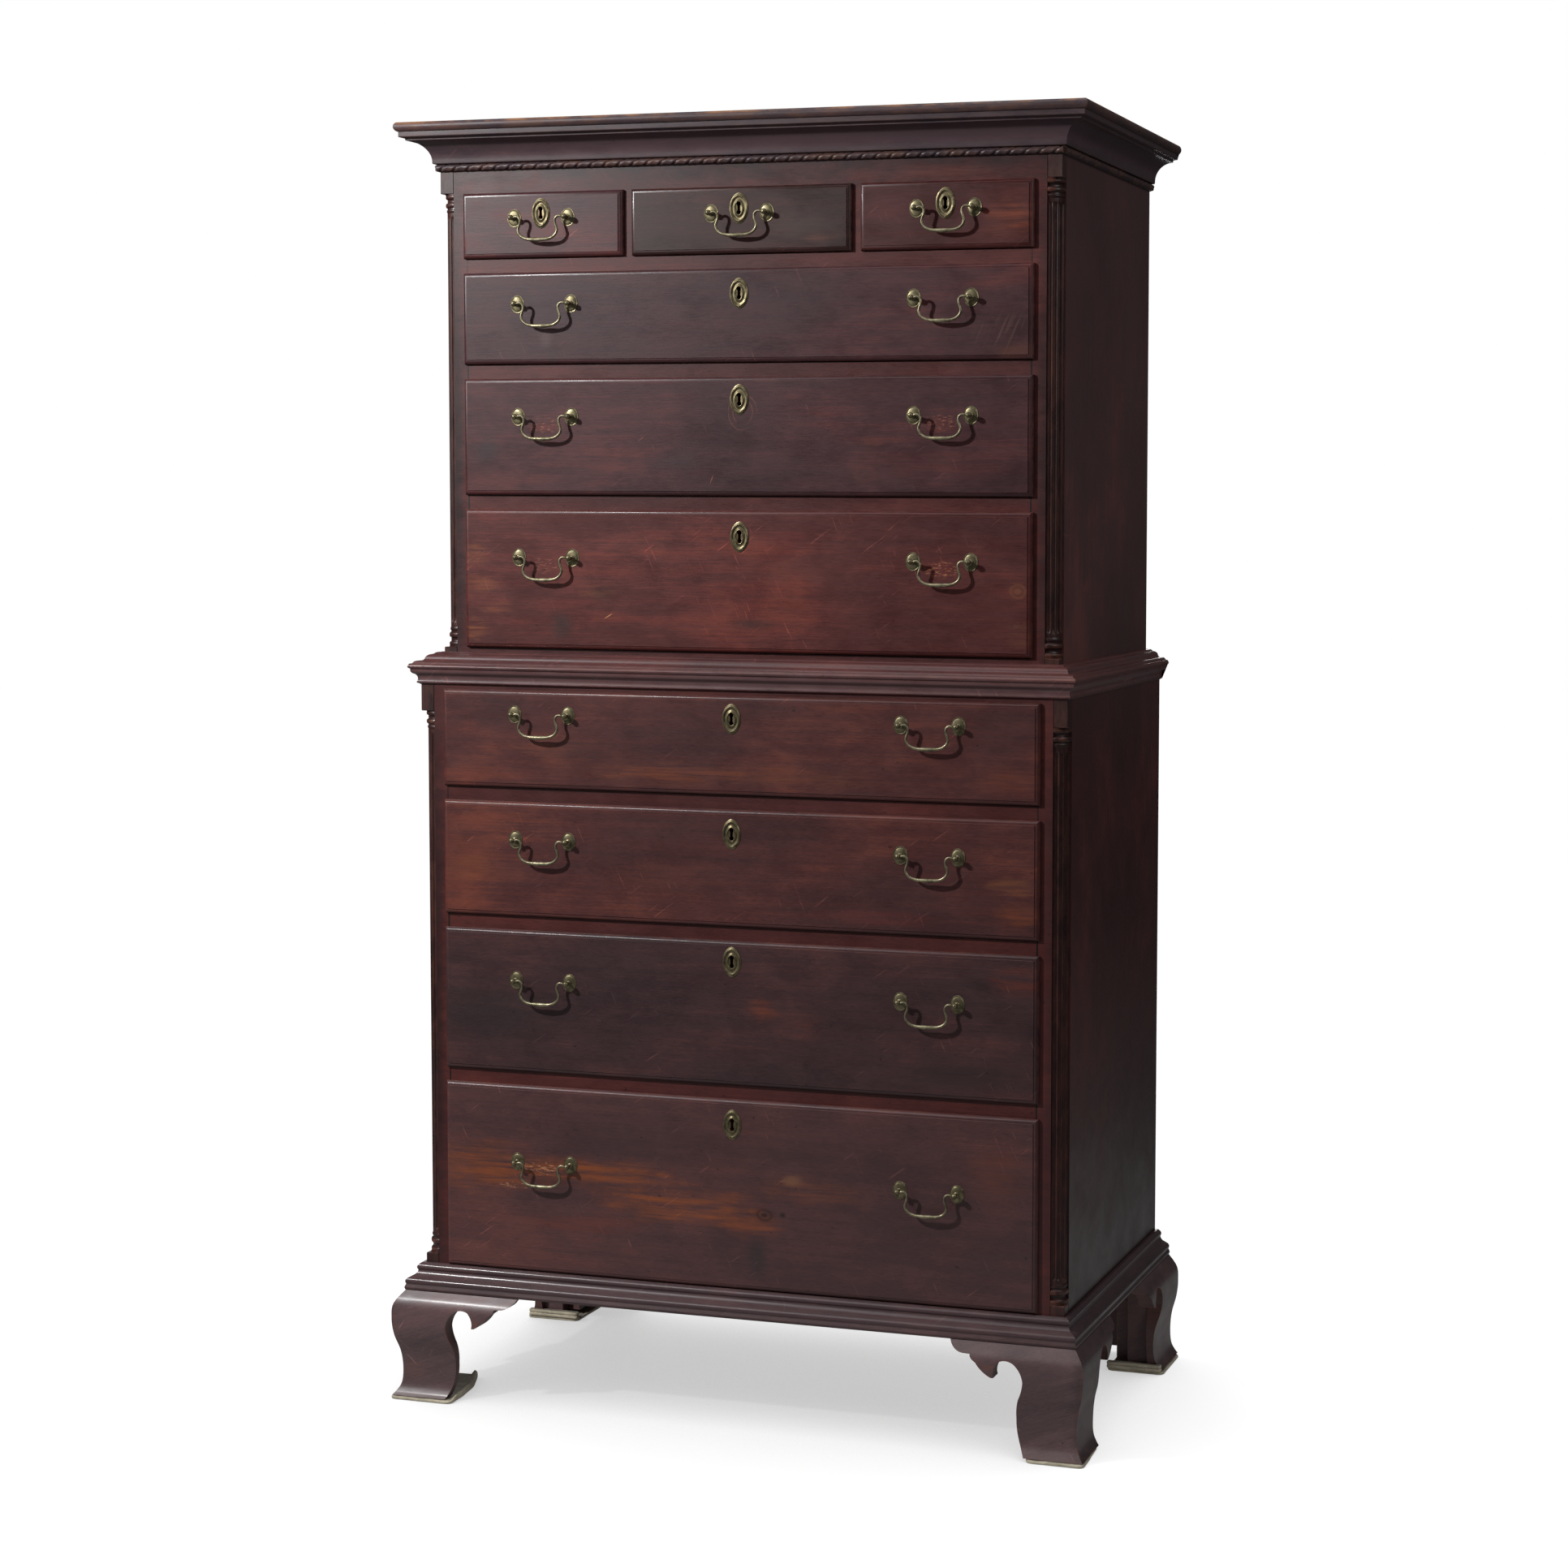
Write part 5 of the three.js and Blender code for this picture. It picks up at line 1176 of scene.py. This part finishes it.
upper_1_marks = [
    ("plug", -0.305, 1.6185, 0.0075, 0.0075, (0.035, 0.022, 0.022), 0.8),
    ("cloud", -0.317, 1.645, 0.016, 0.02, (0.12, 0.07, 0.07), 0.4),
    ("strokes", 0.415, 1.645, 0.055, 0.04, (0.15, 0.085, 0.06), 0.3),
    ("line", -0.421, 1.693, 0.011, 0.0008, knot_dark, 0.7, 1.35),
    ("cloud", 0.43, 1.62, 0.05, 0.02, (0.12, 0.04, 0.026), 0.5),
]
small_centre_marks = [
    ("worn", 0.13, 1.79, 0.04, 0.014, (0.15, 0.05, 0.03), 0.6),
    ("cloud", 0.1, 1.81, 0.07, 0.03, (0.06, 0.035, 0.028), 0.5),
]
small_right_marks = [
    ("worn", 0.42, 1.815, 0.05, 0.04, (0.21, 0.046, 0.02), 0.8),
    ("cloud", 0.24, 1.83, 0.06, 0.03, (0.1, 0.02, 0.022), 0.5),
]
LOWER_OPENING = 0.4755
UPPER_OPENING = 0.4525
SMALL_OPENING = 0.12925
SMALL_MIDDLE = 0.32325
CENTRE_OPENING = 0.172
# Openings as (case, middle, half width, foot, top, height of the key, colours, marks)
drawers = {
    "lower_drawer_4": ("lower_chest", 0.0, LOWER_OPENING, 0.211, 0.497, 0.4631, WARM, lower_4_marks),
    "lower_drawer_3": ("lower_chest", 0.0, LOWER_OPENING, 0.522, 0.738, 0.7109, DUSKY, lower_3_marks),
    "lower_drawer_2": ("lower_chest", 0.0, LOWER_OPENING, 0.763, 0.936, 0.9036, BROWN, lower_2_marks),
    "lower_drawer_1": ("lower_chest", 0.0, LOWER_OPENING, 0.961, 1.107, 1.0766, BROWN, lower_1_marks),
    "upper_drawer_3": ("upper_chest", 0.0, UPPER_OPENING, 1.1733, 1.3833, 1.3481, RED, upper_3_marks),
    "upper_drawer_2": ("upper_chest", 0.0, UPPER_OPENING, 1.4083, 1.5828, 1.5529, PLUM, upper_2_marks),
    "upper_drawer_1": ("upper_chest", 0.0, UPPER_OPENING, 1.6078, 1.7438, 1.7106, PLUM, upper_1_marks),
}
for place, middle, half_opening, shades, marks in (
    ("left", -SMALL_MIDDLE, SMALL_OPENING, PLUM, []),
    ("centre", 0.0, CENTRE_OPENING, OLIVE, small_centre_marks),
    ("right", SMALL_MIDDLE, SMALL_OPENING, SCARLET, small_right_marks),
):
    row = ("upper_chest", middle, half_opening, 1.7688, 1.8648, 1.8361, shades, marks)
    drawers[f"small_{place}_drawer"] = row
faces_of = {"lower_chest": LOWER_FACE, "upper_chest": UPPER_FACE}
for index, (name, row) in enumerate(drawers.items()):
    case, middle, half_opening, foot, top, key, shades, marks = row
    seed = 11.0 + index * 1.7
    finish = varnished(
        f"{name}_wood", shades, seed, figure=0.12, scratch=0.9, bare=(0.13, 0.05, 0.04), marks=marks,
    )
    board = lipped_front(middle, half_opening, foot, top, faces_of[case], key)
    piece(f"{name}_board", board, finish, name, [f"{name}_front"], smooth=24)


# Drawer boxes: sides and backs of thin poplar, dovetailed, with pine bottoms. They are the CAD
# solids, in bare wood that has gone brown.
box_wood = unfinished(
    "box_wood", ((0.2, 0.125, 0.066), (0.33, 0.215, 0.12), (0.42, 0.29, 0.17)), 30.0, ALONG_Y,
)
for name in drawers:
    dress(f"{name}_box", box_wood)


# Brasses: two oval rosettes and ball-ended posts to each bail, which swings between them, and an
# oval escutcheon with two small nails round each keyhole. They are cast, and the polish has gone.
BAIL_SPACING = 0.089
WIRE = 0.0019
WIRE_SIDES = 14
POST_REACH = 0.013
POST_RADIUS = 0.0023
BALL = 0.0043
ROSETTE_WIDTH = 0.0228
ROSETTE_HEIGHT = 0.0278
ROSETTE_DOME = 0.0023
ESCUTCHEON_WIDTH = 0.030
ESCUTCHEON_HEIGHT = 0.046
ESCUTCHEON_RISE = 0.0024
ESCUTCHEON_POINT = 0.05


def dull_bloom(tree, taken):
    """Metal that has dulled in small clouds, with a fine grit."""
    place = moved(tree, taken, (5.1, 3.3, 2.7))
    bloom = clouds(tree, place, (120.0, 120.0, 120.0), 5.0, 0.6)
    grit = clouds(tree, place, (900.0, 900.0, 900.0), 3.0, 0.6)
    dulled = spread(tree, bloom, 0.38, 0.62)
    rough = spread(tree, weighed(tree, (dulled, 0.7), (grit, 0.3)), 0.0, 1.0, 0.36, 0.56)
    color = blended(tree, dulled, taken["Bright"], taken["Dull"])
    return {"Color": color, "Rough": rough, "Height": weighed(tree, (bloom, 0.3), (grit, 0.3))}


aged_metal = shader_group(
    "aged_metal", {"Place": "Vector", "Bright": "Color", "Dull": "Color", "Seed": "Float"},
    {"Color": "Color", "Rough": "Float", "Height": "Float"}, dull_bloom,
)


def aged_brass(name, bright, dull, seed):
    material, tree, shader = blank(name)
    look = {"Place": placed(tree), "Bright": bright, "Dull": dull, "Seed": seed}
    metal = use(tree, aged_metal, look)
    fed(tree, shader, {
        "Base Color": metal["Color"], "Roughness": metal["Rough"], "Metallic": 0.92,
        "Normal": raised(tree, metal["Height"], 0.0001, 0.25),
    })
    return material


rosette_brass = aged_brass("rosette_brass", (0.27, 0.232, 0.135), (0.113, 0.097, 0.057), 1.0)
bail_brass = aged_brass("bail_brass", (0.35, 0.31, 0.2), (0.155, 0.137, 0.086), 2.0)
escutcheon_brass = aged_brass("escutcheon_brass", (0.25, 0.205, 0.118), (0.108, 0.09, 0.053), 3.0)

# Rows of the turned parts as (radius, rise above the front), outermost first
HALF = ROSETTE_HEIGHT / 2
plate_rows = [
    (HALF, -0.0003), (HALF, 0.0004), (HALF - 0.0004, 0.0008), (HALF - 0.0012, 0.00085),
    (HALF - 0.0017, 0.0006),
]
for step in range(9):
    angle = step / 8 * math.pi / 2
    rise = 0.0006 + (ROSETTE_DOME - 0.0006) * math.sin(angle)
    plate_rows.append(((HALF - 0.002) * math.cos(angle) + 0.0001, rise))
collar_rows = [
    (0.0042, 0.002), (0.0042, 0.0034), (0.0036, 0.0041), (POST_RADIUS, 0.0044),
    (POST_RADIUS, POST_REACH - BALL * 0.8),
]
ball_rows = []
for step in range(13):
    angle = -math.pi / 2 + 0.5 + (math.pi - 0.5) * step / 12
    ball_rows.append((max(BALL * math.cos(angle), 0.00005), POST_REACH + BALL * math.sin(angle)))
nail_rows = [(0.0013, -0.0003), (0.0013, 0.0004), (0.0011, 0.0008), (0.0006, 0.0011), (0.00005, 0.0012)]


def lathe(rows, at, squeeze=1.0, count=32):
    """A turned shape that stands out towards the front from the point at."""
    loops = []
    for radius, rise in rows:
        angles = [2 * math.pi * step / count for step in range(count)]
        loops.append([
            (at[0] + squeeze * radius * math.cos(angle), at[1] - rise, at[2] + radius * math.sin(angle))
            for angle in angles
        ])
    return skin(loops)


def rosette(at):
    plate = lathe(plate_rows, at, ROSETTE_WIDTH / ROSETTE_HEIGHT, 40)
    return plate, lathe(collar_rows, at, count=24), lathe(ball_rows, at, count=24)


# One half of a bail, from its pin to the middle: (share of the half spacing, height, thickness share)
bail_rows = [
    (0.865, 0.0007, 1.0), (0.78, 0.0012, 1.0), (0.7, -0.0006, 1.0), (0.655, -0.0042, 1.0),
    (0.66, -0.0095, 1.0), (0.71, -0.016, 1.02), (0.725, -0.021, 1.05), (0.66, -0.0268, 1.1),
    (0.52, -0.0312, 1.2), (0.33, -0.0333, 1.35), (0.12, -0.0338, 1.68), (0.0, -0.034, 1.75),
]


def swept_bail(at):
    half = BAIL_SPACING / 2
    knots = [(half - 0.0012, 0.0, 0.62), (half - BALL - 0.0001, 0.0, 0.8)]
    knots += [(share * half, z, thick) for share, z, thick in bail_rows]
    path = smooth_run(knots + [(-x, z, thick) for x, z, thick in reversed(knots[:-1])], 110)
    loops = []
    for index, point in enumerate(path):
        ahead = path[min(index + 1, len(path) - 1)] - path[max(index - 1, 0)]
        way = Vector((ahead.x, ahead.y)).normalized()
        radius = point.z * WIRE
        loop = []
        for turn in range(WIRE_SIDES):
            angle = 2 * math.pi * turn / WIRE_SIDES
            out, forward = radius * math.cos(angle), radius * math.sin(angle)
            loop.append((at[0] + point.x - way.y * out, at[1] + forward, at[2] + point.y + way.x * out))
        loops.append(loop)
    return skin(loops)


# Section of an escutcheon from its rim inwards and back: (share of its size, rise share)
escutcheon_rows = [
    (1.0, -0.1), (1.0, 0.22), (0.975, 0.34), (0.93, 0.36), (0.905, 0.5), (0.87, 0.85), (0.83, 1.0),
    (0.79, 0.95), (0.76, 0.75), (0.74, 0.5), (0.7, 0.38), (0.63, 0.33), (0.57, 0.42), (0.545, 0.62),
    (0.51, 0.84), (0.46, 0.95), (0.41, 0.86), (0.37, 0.62), (0.3, 0.5), (0.15, 0.46), (0.0, 0.44),
    (0.0, -0.1),
]
KEY_RIM = 0.46


def escutcheon(middle, height, face, count=64):
    """An oval plate with a shaped rim, which runs in to the keyhole."""
    rim = []
    for step in range(count):
        angle = 2 * math.pi * step / count
        pull = 1 + ESCUTCHEON_POINT * abs(math.cos(angle)) ** 10
        z = ESCUTCHEON_HEIGHT / 2 * math.cos(angle) * pull / (1 + ESCUTCHEON_POINT)
        rim.append((ESCUTCHEON_WIDTH / 2 * math.sin(angle), z))
    hole = [(x - middle, z - height) for x, _, z in key_loop(middle, height, face, count)]
    loops = []
    for share, rise in escutcheon_rows:
        mix = 0.0 if share > 0.5 else (0.5 - share) / 0.5
        size = max(share, KEY_RIM)
        y = face - rise * ESCUTCHEON_RISE
        loops.append([
            (middle + x * size * (1 - mix) + hole_x * mix, y, height + z * size * (1 - mix) + hole_z * mix)
            for (x, z), (hole_x, hole_z) in zip(rim, hole)
        ])
    return skin(loops, ends="joined")


pivots = {joint["child"]: Vector(joint["pos_m"]) for joint in frame["joints"] if joint["type"] == "hinge"}
for name, (case, middle, half_opening, foot, top, key, shades, marks) in drawers.items():
    face = faces_of[case] - LIP_THICKNESS
    mounts = []
    for bail, pivot in pivots.items():
        if not bail.startswith(name):
            continue
        for side in (-1, 1):
            mounts += rosette((pivot.x + side * BAIL_SPACING / 2, face, pivot.z))
        piece(f"{bail}_casting", swept_bail(pivot), bail_brass, bail, [bail], smooth=60, slot="brass")
    piece(f"{name}_rosettes", shells(*mounts), rosette_brass, name, smooth=40, slot="brass")
    plate = escutcheon(middle, key, face)
    off = ESCUTCHEON_HEIGHT / 2 - 0.0034
    nails = [lathe(nail_rows, (middle, face - 0.0012, key + way * off), count=16) for way in (-1, 1)]
    piece(f"{name}_escutcheon", shells(plate, *nails), escutcheon_brass, name, smooth=35, slot="brass")


# The room: a pale seamless floor that glows white to the camera. Ambient occlusion darkens its glow near
# the object, a painted soft shadow over the real shadow on its weak diffuse colour, and near the object it
# also glows weakly to other rays, a painted bounce light on the object. A small bright lamp at the upper
# left makes the shadows, and wide weak ones at the left, the right, above and behind. The surround is
# white, but dark to reflections.
FLOOR_HALF = 14.0
corners = [(x * FLOOR_HALF, y * FLOOR_HALF, 0) for x, y in ((-1, -1), (1, -1), (1, 1), (-1, 1))]
floor_mesh = bpy.data.meshes.new("floor")
floor_mesh.from_pydata(corners, [], [[0, 1, 2, 3]])
shown("floor", floor_mesh)
paper, tree, shader = blank("floor_paper")
# Ambient occlusion paints a soft shadow into the glow; the glow that rays other than the camera's see near
# the object is painted bounce light.
open_sky = node(tree, "ShaderNodeAmbientOcclusion", {"Distance": 0.9}, samples=8).outputs["AO"]
glow_with_painted_shadow = spread(tree, open_sky, 0.12, 0.8, 0.52, 1.0)
away = turned(tree, "LENGTH", turned(tree, "MULTIPLY", placed(tree), (1.0, 1.0, 0.0)))
seen = node(tree, "ShaderNodeLightPath").outputs["Is Camera Ray"]
white_and_painted_bounce = reckon(tree, "MAXIMUM", seen, spread(tree, away, 0.9, 2.4, 0.22, 0.0))
fed(tree, shader, {
    "Base Color": (0.14, 0.14, 0.14), "Roughness": 1.0, "Specular IOR Level": 0.0,
    "Emission Color": (1, 1, 1), "Emission Strength": times(tree, white_and_painted_bounce, glow_with_painted_shadow),
})
floor_mesh.materials.append(paper)


def lamp(name, place, aim, width, height, watts):
    data = bpy.data.lights.new(name, "AREA")
    data.shape = "RECTANGLE"
    data.size, data.size_y, data.energy = width, height, watts
    data.spread = math.radians(180)
    made = shown(name, data)
    made.location = place
    made.rotation_euler = (Vector(aim) - Vector(place)).to_track_quat("-Z", "Y").to_euler()


lamp("key", (-2.05, -2.2, 2.7), (0.0, -0.25, 1.0), 0.16, 0.16, 90)
lamp("wide_left", (-2.3, -3.3, 1.7), (-0.1, -0.2, 1.1), 1.6, 2.0, 5)
lamp("fill_right", (3.2, -1.4, 3.0), (0.3, 0.0, 1.3), 1.6, 1.6, 24)
lamp("top", (0.0, -0.9, 4.4), (0.0, -0.4, 0.0), 3.0, 3.0, 45)
lamp("back_fill", (-1.2, 3.4, 1.8), (0.0, 0.3, 1.0), 2.0, 2.0, 60)
world = bpy.data.worlds.new("surround")
bpy.context.scene.world = world
world.use_nodes = True
tree = world.node_tree
path = node(tree, "ShaderNodeLightPath").outputs
bright = reckon(tree, "MAXIMUM", path["Is Camera Ray"], path["Is Transmission Ray"])
surround = {"Color": (1, 1, 1), "Strength": spread(tree, bright, 0.0, 1.0, 0.05, 1.0)}
fed(tree, tree.nodes["Background"], surround)

# The camera stands to the right of the front, a little above mid height, and looks slightly down
CAMERA_PLACE = (1.6531, -4.2260, 1.3917)
CAMERA_TURN = math.radians(16.162)
CAMERA_TILT = math.radians(90 - 3.899)
CAMERA_ROLL = math.radians(0.324)
camera_data = bpy.data.cameras.new("camera")
camera_data.lens = 65.84
camera_data.sensor_width = 36.0
camera_data.shift_x = -0.1729
camera_data.shift_y = -0.0504
camera = shown("camera", camera_data)
aim = Matrix.Rotation(CAMERA_TURN, 4, "Z") @ Matrix.Rotation(CAMERA_TILT, 4, "X")
camera.matrix_world = Matrix.Translation(CAMERA_PLACE) @ aim @ Matrix.Rotation(CAMERA_ROLL, 4, "Z")
bpy.context.scene.camera = camera
bpy.context.scene.view_settings.view_transform = "Standard"
